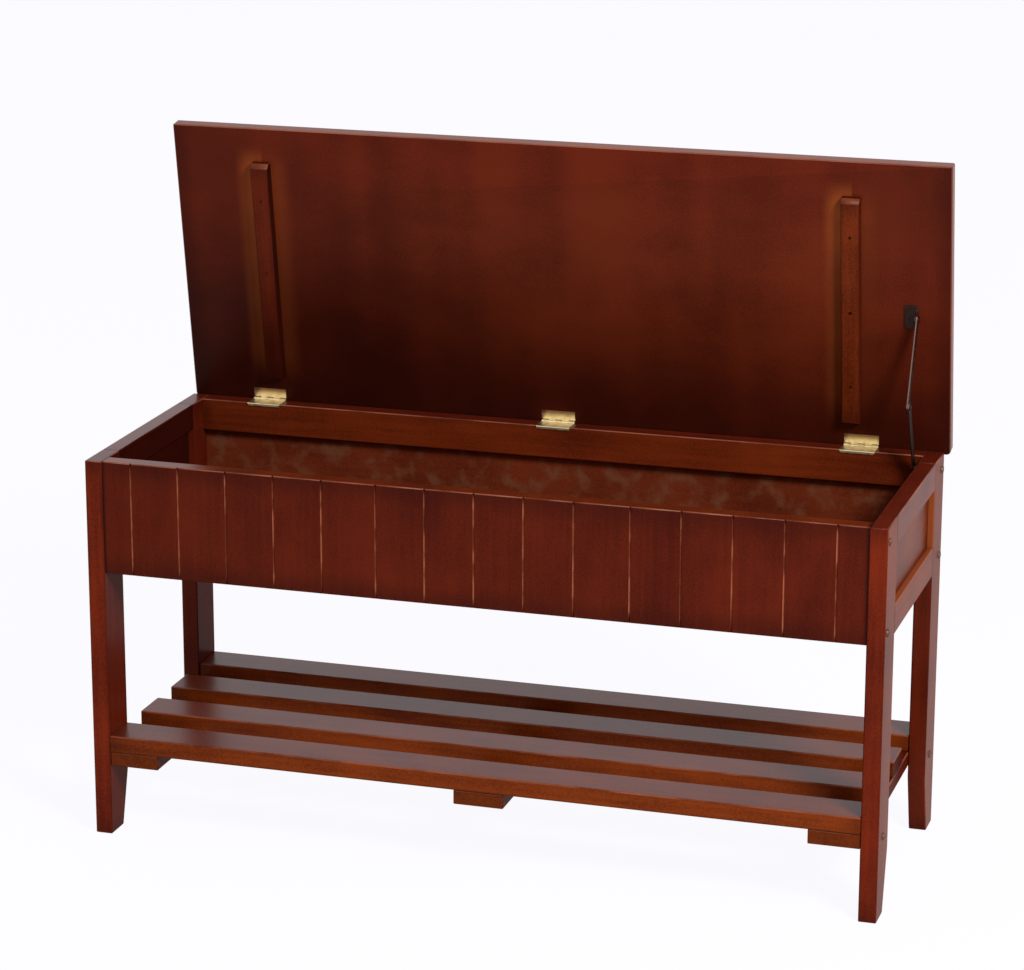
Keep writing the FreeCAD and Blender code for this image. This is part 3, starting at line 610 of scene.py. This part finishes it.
def metal(name, clean, dull, dulling, roughness, edge=None, browned=None):
    """A metal finish with dull patches and brush lines. Its edges and far side may have their own colour."""
    detail = settings("detail")
    material, draw = new_material(name)
    marks = draw.group(metal_marks, {"Clean": clean, "Dull": dull, "Dulling": dulling})
    bump = draw.add("ShaderNodeBump", {"Height": marks["Height"], "Distance": detail.brush_lines,
                                       "Strength": 0.25})
    far = draw.step(draw.attribute("from_pin"), detail.brown_start, detail.brown_end) * 0.9
    rubbed = draw.mix(draw.attribute("edge"), marks["Colour"], edge or clean)
    surface = draw.add("ShaderNodeBsdfPrincipled", {
        "Base Color": draw.mix(far, rubbed, browned or clean), "Metallic": 1.0,
        "Roughness": marks["Roughness"] + roughness, "Normal": bump})
    draw.add("ShaderNodeOutputMaterial", {"Surface": surface})
    return material


def brass():
    """Brass of the hinges and their pins."""
    finish = settings("metal")
    return metal("Brass", finish.brass, finish.brass_dull, dulling=0.5, roughness=0.26,
                 browned=finish.brass_brown)


def stay_steel():
    """Dark bronzed steel of the stay."""
    finish = settings("metal")
    return metal("Stay steel", finish.stay, finish.stay_rubbed, dulling=0.15, roughness=0.36,
                 edge=finish.stay_rubbed)


def bolt_steel():
    """Bronzed steel of the bolts."""
    finish = settings("metal")
    return metal("Bolt steel", finish.bolt, finish.stay, dulling=0.8, roughness=0.45)


def stained_steel():
    """Steel of the battens' screws under the stain."""
    stained, edge_stain_colour = settings("metal").stained, settings("wood").edge_stain
    return metal("Stained screws", stained, edge_stain_colour, dulling=0.9, roughness=0.6)


def zinc():
    """Plated steel of the screws and nuts."""
    finish = settings("metal")
    return metal("Zinc", finish.zinc, finish.bolt, dulling=0.5, roughness=0.32)


FINISHES = {"stained_wood": stained_wood, "stained_plywood": stained_plywood, "brass": brass,
            "stay_steel": stay_steel, "bolt_steel": bolt_steel, "zinc_screws": zinc}


# Making meshes

def merged_copy(node):
    """A node's mesh with its loose triangles joined into flat faces."""
    bm = bmesh.new()
    bm.from_mesh(NODES[node].data)
    bmesh.ops.remove_doubles(bm, verts=bm.verts, dist=SAME_PLACE)
    bmesh.ops.dissolve_limit(bm, angle_limit=FLAT_ANGLE, verts=bm.verts, edges=bm.edges)
    return bm


def new_object(name, data):
    """An object at the origin."""
    obj = bpy.data.objects.new(name, data)
    bpy.context.scene.collection.objects.link(obj)
    return obj


def plain_mesh(obj):
    """An object with its modifiers evaluated into a plain mesh, and the modifiers gone."""
    depsgraph = bpy.context.evaluated_depsgraph_get()
    mesh = bpy.data.meshes.new_from_object(obj.evaluated_get(depsgraph), preserve_all_data_layers=True,
                                           depsgraph=depsgraph)
    obj.modifiers.clear()
    obj.data = mesh
    mesh.name = obj.name
    return obj


def shaded_by_weight(obj):
    """Smooth shading in which the large flat faces keep their own direction."""
    obj.data.polygons.foreach_set("use_smooth", [True] * len(obj.data.polygons))
    obj.data.set_sharp_from_angle(angle=CREASE_ANGLE)
    obj.modifiers.new("Weighted", "WEIGHTED_NORMAL").keep_sharp = True
    return plain_mesh(obj)


def rounded(node, name, amount, shortest, levels=()):
    """A copy of a node with its long sharp edges rounded, hole rims left, and its faces split at levels."""
    bm = merged_copy(node)
    sharp = [e for e in bm.edges if len(e.link_faces) == 2 and e.calc_length() > shortest
             and e.calc_face_angle(0) > EDGE_ANGLE]
    bmesh.ops.bevel(bm, geom=sharp, offset=amount, segments=2, profile=0.5, affect="EDGES",
                    clamp_overlap=True)
    for level in levels:
        whole = bm.verts[:] + bm.edges[:] + bm.faces[:]
        bmesh.ops.bisect_plane(bm, geom=whole, plane_co=Z * level, plane_no=Z)
    mesh = bpy.data.meshes.new(name)
    bm.to_mesh(mesh)
    bm.free()
    return shaded_by_weight(new_object(name, mesh))


def seat(obj, nodes, slot, material=None):
    """Puts a finished piece in the place of its nodes, in the finish of its slot or in one of its own."""
    obj.data.materials.clear()
    obj.data.materials.append(once(material or FINISHES[slot]))
    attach(obj, NODES[nodes[0]]["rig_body"])
    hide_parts(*nodes)
    return obj


def keep(mesh, **values):
    """Keeps numbers and vectors on every point of a mesh."""
    for name, value in values.items():
        if isinstance(value, float):
            data = mesh.attributes.new(name, "FLOAT", "POINT").data
            data.foreach_set("value", [value] * len(data))
        else:
            data = mesh.attributes.new(name, "FLOAT_VECTOR", "POINT").data
            data.foreach_set("vector", list(value) * len(data))


def mark_board(mesh, along, face, seed):
    """Keeps on a board which way its grain runs, and where its middle and faces are."""
    ways = (along, face.cross(along), face)
    spans = []
    for way in ways:
        reach = [v.co.dot(way) for v in mesh.vertices]
        spans.append((min(reach), max(reach)))
    centre = sum(((low + high) / 2 * way for (low, high), way in zip(spans, ways)), Vector())
    keep(mesh, grain_along=along, grain_face=face, board_centre=centre,
         board_half=[(high - low) / 2 for low, high in spans], board_seed=seed)


def on_faces(mesh, name, value_of):
    """Keeps on every face a value worked out from it."""
    values = [float(value_of(p)) for p in mesh.polygons]
    mesh.attributes.new(name, "FLOAT", "FACE").data.foreach_set("value", values)


def by_way(marks, otherwise=0.0):
    """A face's value from pairs of a way and a value, by the way that the face points."""
    return lambda p: next((value for way, value in marks if p.normal.dot(way) > ROUGHLY), otherwise)


def mark_faces(mesh, along, face, recess=by_way(()), **marks):
    """Keeps on a board's faces how warm or red they are, how much they darken with painted shade and darker
    stain, how lacquered they are, and which are upper edges.
    """
    ways = (along, face, face.cross(along))
    for name in ("warm", "red", "soaked"):
        on_faces(mesh, name, by_way(marks.get(name, ())))
    on_faces(mesh, "lacquer", by_way(marks.get("lacquer", ()), settings("wood").inner_lacquer))
    on_faces(mesh, "recess", recess)
    # Upper edge faces take the painted highlight
    on_faces(mesh, "arris",
             lambda p: p.normal.z > SLIGHTLY and max(abs(p.normal.dot(w)) for w in ways) < FULLY)


def mark_from_pin(mesh):
    """Keeps on a mesh how far each point is from the hinges' pins, along the lid."""
    pin = Vector(LID_HINGE["pos_m"])
    values = [(pin - v.co).dot(LID_BACK) for v in mesh.vertices]
    mesh.attributes.new("from_pin", "FLOAT", "POINT").data.foreach_set("value", values)


SEEDS = random.Random(7)


def board(node, along, face, slot="stained_wood", material=None, levels=(), **marks):
    """A board dressed over its node: edges rounded, faces split at the levels, grain and faces marked."""
    obj = rounded(node, node + "_wood", settings("detail").rounding, LONG_BOARD_EDGE, levels)
    mark_board(obj.data, along, face, SEEDS.random() * 10)
    mark_faces(obj.data, along, face, **marks)
    return seat(obj, [node], slot, material)


def plate(node, slot, thin=None):
    """A metal piece dressed over its node: edges just broken, and those of a thin piece marked as rubbed."""
    obj = rounded(node, node + "_metal", settings("detail").metal_rounding, LONG_METAL_EDGE)
    on_faces(obj.data, "edge", lambda p: thin is not None and abs(p.normal.dot(thin)) < MOSTLY)
    return seat(obj, [node], slot)


# Geometry node trees

def geometry_group(name, **inputs):
    """A geometry tree with a mesh in, a mesh out and inputs named by kind."""
    return new_group(name, "Geometry", {"Geometry": ["Mesh"], **inputs}, {"Geometry": ["Mesh"]})


def close_tree(draw, instances, inside):
    """Makes the instances real, gives them their material and ends the tree."""
    real = draw.add("GeometryNodeRealizeInstances", {0: instances})
    finished = draw.add("GeometryNodeSetMaterial", {"Geometry": real, "Material": inside["Material"]})
    return draw.close({0: finished})


def moved(draw, mesh, point, turn=(0, 0, 0)):
    """A mesh moved to a place and turned."""
    return draw.add("GeometryNodeTransform", {"Geometry": mesh, "Translation": point, "Rotation": turn})


def cylinder(draw, sides, radius, depth, lift, turn=(0, 0, 0)):
    """A round bar along Z whose middle is lifted."""
    bar = draw.add("GeometryNodeMeshCylinder", {"Vertices": sides, "Radius": radius, "Depth": depth})
    return moved(draw, bar, draw.join(0.0, 0.0, lift), turn)


def cone(draw, sides, top, bottom, height):
    """A cone stub with its top at the origin."""
    stub = draw.add("GeometryNodeMeshCone", {"Vertices": sides, "Radius Top": top, "Radius Bottom": bottom,
                                             "Depth": height})
    return moved(draw, stub, draw.join(0.0, 0.0, height * -1.0))


def block(draw, *size):
    """A block with its middle at the origin."""
    return draw.add("GeometryNodeMeshCube", {"Size": draw.join(*size)})


def cut(draw, body, *tools):
    """A mesh with others cut out of it."""
    return draw.add("GeometryNodeMeshBoolean", {"Mesh 1": body, "Mesh 2": list(tools)},
                    operation="DIFFERENCE", solver="EXACT")


def on_points(draw, inside, *parts):
    """A fastener of its parts on each point, turned to face the point's way."""
    way = draw.add("GeometryNodeInputNamedAttribute", {"Name": "way"}, data_type="FLOAT_VECTOR")["Attribute"]
    facing_way = draw.add("FunctionNodeAlignRotationToVector", {"Vector": way}, axis="Z")
    fastener = draw.add("GeometryNodeJoinGeometry", {0: list(parts)})
    return draw.add("GeometryNodeInstanceOnPoints", {"Points": inside["Mesh"], "Instance": fastener,
                                                     "Rotation": facing_way})


def spun(draw, heads, inside):
    """Heads turned about their own axes by chance, as a driver leaves them."""
    turn = draw.add("FunctionNodeRandomValue", {3: math.tau, "Seed": inside["Seed"]}, data_type="FLOAT")[1]
    spin = draw.join(0.0, 0.0, turn)
    return draw.add("GeometryNodeRotateInstances", {"Instances": heads, "Rotation": spin})


def bolt_tree():
    """Low bolt heads with a bevelled rim and a hexagon socket, on their shanks."""
    draw, inside = geometry_group(
        "Leg bolts", Material=["Material"], Int=["Seed"],
        Float=["Top radius", "Head radius", "Head height", "Shank radius", "Length", "Socket radius",
               "Socket depth"])
    height = inside["Head height"]
    head = cone(draw, 40, inside["Top radius"], inside["Head radius"], height)
    socket = cylinder(draw, 6, inside["Socket radius"], inside["Socket depth"] * 2.0, 0.0)
    rest = inside["Length"] - height
    shank = cylinder(draw, 24, inside["Shank radius"], rest, rest * -0.5 - height)
    bolts = on_points(draw, inside, cut(draw, head, socket), shank)
    return close_tree(draw, spun(draw, bolts, inside), inside)


def screw_tree():
    """Countersunk screws with a cross recess, flush at their points."""
    draw, inside = geometry_group("Countersunk screws", Float=["Head radius", "Shank radius", "Length"],
                                  Material=["Material"], Int=["Seed"])
    radius = inside["Head radius"]
    head = cone(draw, 28, radius, inside["Shank radius"], radius - inside["Shank radius"])
    shank = cylinder(draw, 14, inside["Shank radius"], inside["Length"], inside["Length"] * -0.5)
    arm, thin, deep = [radius * part for part in CROSS_RECESS]
    recessed = cut(draw, head, block(draw, arm, thin, deep), block(draw, thin, arm, deep))
    screws = on_points(draw, inside, recessed, shank)
    return close_tree(draw, spun(draw, screws, inside), inside)


def nut_tree():
    """Barrel nuts with a cross bore along X and a slot in the end, flush at their points."""
    draw, inside = geometry_group("Barrel nuts", Float=["Radius", "Length", "Bore radius", "Slot"],
                                  Material=["Material"])
    middle = inside["Length"] * -0.5
    body = cylinder(draw, 28, inside["Radius"], inside["Length"], middle)
    across = inside["Radius"] * RIGHT_THROUGH
    bore = cylinder(draw, 20, inside["Bore radius"], across, middle, (0, math.pi / 2, 0))
    slot = block(draw, across, inside["Slot"], inside["Slot"])
    return close_tree(draw, on_points(draw, inside, cut(draw, body, bore, slot)), inside)


def board_row_tree():
    """A row of equal boards, each marked with its own middle and seed."""
    draw, inside = geometry_group("Board row", Vector=["First", "Pitch", "Size"], Material=["Material"],
                                  Int=["Count", "Seed"])
    line = draw.add("GeometryNodeMeshLine", {"Count": inside["Count"], "Start Location": inside["First"],
                                             "Offset": inside["Pitch"]})
    cube = draw.add("GeometryNodeMeshCube", {"Size": inside["Size"]})
    boards = draw.add("GeometryNodeInstanceOnPoints", {"Points": line, "Instance": cube})
    middle = draw.add("GeometryNodeInputPosition")
    seed = draw.add("FunctionNodeRandomValue", {3: 10.0, "Seed": inside["Seed"]}, data_type="FLOAT")[1]
    for name, kind, value in (("board_centre", "FLOAT_VECTOR", middle), ("board_seed", "FLOAT", seed)):
        boards = draw.add("GeometryNodeStoreNamedAttribute",
                          {"Geometry": boards, "Name": name, "Value": value},
                          data_type=kind, domain="INSTANCE")
    return close_tree(draw, boards, inside)


def grown(name, tree_maker, values, points=()):
    """A plain mesh object that a geometry tree makes from its inputs, on points that each face a way."""
    mesh = bpy.data.meshes.new(name)
    mesh.from_pydata([point for point, _ in points], [], [])
    way = mesh.attributes.new("way", "FLOAT_VECTOR", "POINT")
    way.data.foreach_set("vector", [v for _, outward in points for v in outward])
    obj = new_object(name, mesh)
    modifier = obj.modifiers.new("Make", "NODES")
    modifier.node_group = once(tree_maker)
    for socket in modifier.node_group.interface.items_tree:
        if socket.in_out == "INPUT" and socket.name in values:
            modifier[socket.identifier] = values[socket.name]
    return plain_mesh(obj)


def islands(node):
    """The corners of each separate solid of a group."""
    bm = merged_copy(node)
    found, seen = [], set()
    for start in bm.verts:
        if start in seen:
            continue
        island, ahead = [], [start]
        seen.add(start)
        while ahead:
            vert = ahead.pop()
            island.append(vert.co.copy())
            fresh = [e.other_vert(vert) for e in vert.link_edges if e.other_vert(vert) not in seen]
            seen.update(fresh)
            ahead += fresh
        found.append(island)
    bm.free()
    return found


def fasteners(node, outward):
    """Each fastener's top and its way, and the turned profile of the last one as (depth, radius) steps."""
    points = []
    for island in islands(node):
        way = outward(island)
        top = max(p.dot(way) for p in island)
        rim = [p for p in island if p.dot(way) > top - SAME_LEVEL]
        centre = sum(rim, Vector()) / len(rim)
        points.append((centre, way))
    steps = {}
    for p in island:
        depth = round((top - p.dot(way)) / MM, 1)
        aside = (p - centre) - (p - centre).dot(way) * way
        steps[depth] = max(steps.get(depth, 0), aside.length)
    return points, [(depth * MM, steps[depth]) for depth in sorted(steps)]


def facing(way):
    """Fasteners that all face one way."""
    return lambda island: way


def facing_out(island):
    """Fasteners that face away from the middle of the bench."""
    return X if island[0].x > 0 else -X


def facing_open(island):
    """Barrel nuts, which face the mouths of their holes: down in the shelf, to the rear in the box."""
    return -Z if island[0].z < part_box("box_bottom")[0].z - BELOW_BOX else Y


# Operators

class BENCH_OT_legs(bpy.types.Operator):
    """Dress the four legs"""
    bl_idname = "bench.legs"
    bl_label = "Legs"

    def execute(self, context):
        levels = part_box("end_bottom_rail_right")[1].z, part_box("end_top_rail_right")[0].z
        panel_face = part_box("end_panel_right")[1].x

        # Painted light on the rear legs' front faces inside the end recesses
        def in_recess(p):
            inside = levels[0] < p.center.z < levels[1] and abs(p.center.x) > panel_face
            return 0.8 * (inside and p.normal.y < -ROUGHLY and p.center.y > 0)

        for end, out in OUTWARD.items():
            lacquer = (out, context.scene.bench_wood.side_lacquer), (Z, 1.0)
            board("leg_front_" + end, Z, X, warm=((-Y, 0.1), (out, 0.55)), red=((-Y, 0.37),), lacquer=lacquer)
            board("leg_rear_" + end, Z, X, warm=((-Y, 0.05), (out, 0.55)), lacquer=lacquer, levels=levels,
                  recess=in_recess)
        return {"FINISHED"}


class BENCH_OT_ends(bpy.types.Operator):
    """Dress the rails and the recessed panels of both ends"""
    bl_idname = "bench.ends"
    bl_label = "Framed ends"

    def execute(self, context):
        wood = context.scene.bench_wood
        for end, out in OUTWARD.items():
            # Painted shade darkens the inner faces of the ends
            for piece, warm, extra, above, thin in (("top_rail", 0.38, 0.11, 1.0, 0.0),
                                                    ("panel", 0.47, 0.05, 1.0, 0.0),
                                                    # The last column is painted light on the bottom rail's
                                                    # top face, in the recess
                                                    ("bottom_rail", 0.52, 0.02, wood.inner_lacquer, 0.8)):
                board("end_" + piece + "_" + end, Y, X, warm=((out, warm),), soaked=((-out, 0.75),),
                      lacquer=((out, wood.side_lacquer + extra), (Z, above)), recess=by_way(((Z, thin),)))
        return {"FINISHED"}


class BENCH_OT_front(bpy.types.Operator):
    """Dress the front panel with its plank grooves"""
    bl_idname = "bench.front"
    bl_label = "Front panel"

    def execute(self, context):
        detail = context.scene.bench_detail
        # Painted light: the warm mark on the front panel's top face stands in for the light falling on it
        obj = board("front_panel", Z, Y, material=plank_wood, warm=((Z, 0.4),), lacquer=((Z, 1.0),))
        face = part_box("front_panel")[0].y
        nearest, deepest = face + detail.rounding * 0.6, face + detail.groove_depth + GROOVE_PLAY
        on_faces(obj.data, "groove", lambda p: nearest < p.center.y < deepest)
        return {"FINISHED"}


class BENCH_OT_back(bpy.types.Operator):
    """Dress the back rails and the thin back panel"""
    bl_idname = "bench.back"
    bl_label = "Back"

    def execute(self, context):
        board("back_top_rail", X, Y, warm=((-Y, 0.3),), lacquer=((Z, 1.0),))
        board("back_bottom_rail", X, Y)
        board("back_panel", X, Y, "stained_plywood", lacquer=((-Y, 0.05),), soaked=((Y, 0.4),))
        return {"FINISHED"}


class BENCH_OT_bottom(bpy.types.Operator):
    """Dress the bottom of the storage box"""
    bl_idname = "bench.bottom"
    bl_label = "Box bottom"

    def execute(self, context):
        board("box_bottom", X, Z, "stained_plywood", lacquer=((Z, 0.1),), soaked=((-Z, 0.4),))
        return {"FINISHED"}


class BENCH_OT_shelf(bpy.types.Operator):
    """Make the slats of the shoe shelf and dress its cross members"""
    bl_idname = "bench.shelf"
    bl_label = "Shoe shelf"

    def execute(self, context):
        slats = sorted(n for n in NODES if n.startswith("shelf_slat_"))
        first, last, size = middle_of(slats[0]), middle_of(slats[-1]), size_of(slats[0])
        obj = grown("shelf_slats_wood", board_row_tree, {
            "Count": len(slats), "First": first, "Pitch": (last - first) / (len(slats) - 1), "Size": size,
            "Material": once(stained_wood), "Seed": 3})
        bevel = obj.modifiers.new("Round", "BEVEL")
        bevel.width, bevel.segments = context.scene.bench_detail.slat_rounding, 3
        shaded_by_weight(obj)
        keep(obj.data, grain_along=X, grain_face=Z, board_half=size / 2)
        mark_faces(obj.data, X, Z, warm=((-Y, 0.8), (Y, 0.8), (Z, 0.3)), lacquer=((Z, 1.0),))
        seat(obj, slats, "stained_wood")
        for place_name in PLACES:
            board("cross_member_" + place_name, Y, Z, warm=((-Y, 1.0), (Y, 1.0)), lacquer=((Z, 1.0),))
        return {"FINISHED"}


class BENCH_OT_lid(bpy.types.Operator):
    """Dress the lid and its two battens"""
    bl_idname = "bench.lid"
    bl_label = "Lid"

    def execute(self, context):
        # The warm marks on the lid's edge faces carry its painted reflection
        board("lid_panel", X, LID_OUT, material=lid_wood, warm=((-LID_BACK, 0.3), (X, 0.2), (-X, 0.2)),
              lacquer=((-LID_BACK, 1.0), (X, 0.9), (-X, 0.9), (LID_OUT, 0.8)))
        # Painted shade on each batten toward the hinges; darker right side faces
        for end, warm, soaked, sunk in (("left", 0.1, 0.8, 0.7), ("right", 0.45, 0.1, 0.15)):
            obj = board("lid_batten_" + end, LID_BACK, LID_OUT, warm=((-LID_OUT, warm),),
                        soaked=((X, soaked),))
            keep(obj.data, sunk=sunk)
        return {"FINISHED"}


class BENCH_OT_hinges(bpy.types.Operator):
    """Dress the leaves and pins of the three hinges"""
    bl_idname = "bench.hinges"
    bl_label = "Hinges"

    def execute(self, context):
        for place_name in PLACES:
            plate("hinge_box_leaf_" + place_name, "brass")
            plate("hinge_pin_" + place_name, "brass")
            mark_from_pin(plate("hinge_lid_leaf_" + place_name, "brass").data)
        return {"FINISHED"}


class BENCH_OT_stay(bpy.types.Operator):
    """Dress the folding stay"""
    bl_idname = "bench.stay"
    bl_label = "Folding stay"

    def execute(self, context):
        for piece in ("lid_bracket", "lid_rivet", "elbow_rivet_inner", "elbow_rivet_outer", "box_stud",
                      "box_bracket"):
            plate("stay_" + piece, "stay_steel")
        for piece in ("upper_link", "lower_link"):
            plate("stay_" + piece, "stay_steel", X)
        return {"FINISHED"}


class BENCH_OT_bolts(bpy.types.Operator):
    """Make the bolts of the legs and their barrel nuts"""
    bl_idname = "bench.bolts"
    bl_label = "Bolts and nuts"

    def execute(self, context):
        detail = context.scene.bench_detail
        points, steps = fasteners("leg_bolts", facing_out)
        (_, top_radius), (height, head_radius), (whole, shank_radius) = steps
        obj = grown("leg_bolts_metal", bolt_tree, {
            "Top radius": top_radius, "Head radius": head_radius, "Head height": height, "Length": whole,
            "Shank radius": shank_radius, "Socket radius": detail.socket_radius,
            "Socket depth": detail.socket_depth, "Material": once(bolt_steel), "Seed": 5}, points)
        seat(shaded_by_weight(obj), ["leg_bolts"], "bolt_steel")
        points, steps = fasteners("barrel_nuts", facing_open)
        obj = grown("barrel_nuts_metal", nut_tree, {
            "Radius": steps[0][1], "Length": steps[-1][0], "Bore radius": shank_radius + detail.bore_play,
            "Slot": detail.nut_slot, "Material": once(zinc)}, points)
        seat(shaded_by_weight(obj), ["barrel_nuts"], "bolt_steel", zinc)
        return {"FINISHED"}


class BENCH_OT_screws(bpy.types.Operator):
    """Make the wood screws with their cross recesses"""
    bl_idname = "bench.screws"
    bl_label = "Screws"

    def execute(self, context):
        groups = (("slat_screws", -Z, "zinc_screws", None),
                  ("batten_screws", -LID_OUT, "bolt_steel", stained_steel),
                  ("hinge_box_screws", Z, "brass", None),
                  ("hinge_lid_screws", -LID_OUT, "brass", None),
                  ("stay_lid_screws", -LID_OUT, "stay_steel", None),
                  ("stay_box_screws", -X, "stay_steel", None))
        for seed, (node, way, slot, material) in enumerate(groups):
            points, steps = fasteners(node, facing(way))
            obj = grown(node + "_metal", screw_tree, {
                "Head radius": steps[0][1], "Shank radius": steps[-1][1], "Length": steps[-1][0],
                "Material": once(FINISHES[slot]), "Seed": seed}, points)
            seat(shaded_by_weight(obj), [node], slot, material)
            if node == "hinge_lid_screws":
                mark_from_pin(obj.data)
        return {"FINISHED"}


def white_if_seen(draw, plain, seen):
    """One shader for light that falls, another for what the camera, gloss and glass see."""
    path = draw.add("ShaderNodeLightPath")
    direct = draw.larger(path["Is Camera Ray"], path["Is Glossy Ray"])
    factor = draw.larger(direct, path["Is Transmission Ray"])
    return draw.add("ShaderNodeMixShader", {0: factor, 1: plain, 2: seen})


class BENCH_OT_stage(bpy.types.Operator):
    """Set the pale floor, the soft light and the camera"""
    bl_idname = "bench.stage"
    bl_label = "Stage"

    def execute(self, context):
        studio = context.scene.bench_studio
        self.floor(studio)
        self.world(studio)
        self.lamp(studio)
        self.camera(studio)
        context.scene.view_settings.view_transform = "Standard"
        return {"FINISHED"}

    def floor(self, studio):
        """A round floor that shows white and keeps a faint shadow."""
        bm = bmesh.new()
        bmesh.ops.create_circle(bm, cap_ends=True, segments=96, radius=studio.floor_radius)
        mesh = bpy.data.meshes.new("floor")
        bm.to_mesh(mesh)
        bm.free()
        material, draw = new_material("Pale floor")
        plain = draw.add("ShaderNodeBsdfDiffuse", {"Color": (0.8, 0.8, 0.8, 1)})
        grey = [studio.floor_shadow] * 3
        shadowed = draw.add("ShaderNodeBsdfDiffuse", {"Color": (*grey, 1)})
        glow = draw.add("ShaderNodeEmission", {"Color": studio.white, "Strength": studio.floor_glow})
        seen = draw.add("ShaderNodeAddShader", {0: shadowed, 1: glow})
        draw.add("ShaderNodeOutputMaterial", {"Surface": white_if_seen(draw, plain, seen)})
        mesh.materials.append(material)
        new_object("floor", mesh)

    def world(self, studio):
        """White where it is seen, and a level soft light elsewhere."""
        world = bpy.data.worlds.new("Surround")
        bpy.context.scene.world = world
        world.use_nodes = True
        world.node_tree.nodes.clear()
        draw = Drawing(world.node_tree)
        plain = draw.add("ShaderNodeBackground", {"Strength": studio.surround})
        seen = draw.add("ShaderNodeBackground", {"Color": studio.white, "Strength": 1.0})
        draw.add("ShaderNodeOutputWorld", {"Surface": white_if_seen(draw, plain, seen)})

    def lamp(self, studio):
        """A soft lamp, high on the right and in front."""
        data = bpy.data.lights.new("Key", "AREA")
        data.shape, data.size, data.energy = "DISK", studio.key_size, studio.key_power
        obj = new_object("Key", data)
        obj.location = studio.key_place
        aim = Vector(studio.key_aim) - obj.location
        obj.rotation_euler = aim.to_track_quat("-Z", "Y").to_euler()

    def camera(self, studio):
        """The camera at the viewing angle of the photograph."""
        data = bpy.data.cameras.new("Camera")
        data.lens, data.sensor_width, data.sensor_fit = studio.lens, 36, "HORIZONTAL"
        obj = new_object("Camera", data)
        turn = (Matrix.Rotation(studio.yaw, 3, "Z") @ Matrix.Rotation(math.pi / 2 - studio.pitch, 3, "X")
                @ Matrix.Rotation(studio.roll, 3, "Z"))
        obj.matrix_world = Matrix.Translation(studio.camera_place) @ turn.to_4x4()
        bpy.context.scene.camera = obj


PIECES = (BENCH_OT_legs, BENCH_OT_ends, BENCH_OT_front, BENCH_OT_back, BENCH_OT_bottom, BENCH_OT_shelf,
          BENCH_OT_lid, BENCH_OT_hinges, BENCH_OT_stay, BENCH_OT_bolts, BENCH_OT_screws, BENCH_OT_stage)
SETTINGS = {"bench_wood": BenchWood, "bench_metal": BenchMetal, "bench_detail": BenchDetail,
            "bench_studio": BenchStudio}


class BENCH_PT_pieces(bpy.types.Panel):
    """The bench's pieces and their sizes and colours"""
    bl_label = "Shoe storage bench"
    bl_idname = "BENCH_PT_pieces"
    bl_space_type = "VIEW_3D"
    bl_region_type = "UI"
    bl_category = "Bench"

    def draw(self, context):
        for piece in PIECES:
            self.layout.operator(piece.bl_idname)
        for name, group in SETTINGS.items():
            box = self.layout.box()
            for setting in group.__annotations__:
                box.prop(getattr(context.scene, name), setting)


def register():
    """Registers the settings, the operators and the panel."""
    for name, group in SETTINGS.items():
        bpy.utils.register_class(group)
        setattr(bpy.types.Scene, name, PointerProperty(type=group))
    for kind in PIECES + (BENCH_PT_pieces,):
        bpy.utils.register_class(kind)


def unregister():
    """Takes away what register added."""
    for kind in (BENCH_PT_pieces,) + PIECES[::-1]:
        bpy.utils.unregister_class(kind)
    for name, group in SETTINGS.items():
        delattr(bpy.types.Scene, name)
        bpy.utils.unregister_class(group)


def main():
    """Builds every piece and the stage."""
    register()
    for piece in PIECES:
        getattr(bpy.ops.bench, piece.bl_idname.split(".")[1])()


if __name__ == "__main__":
    main()
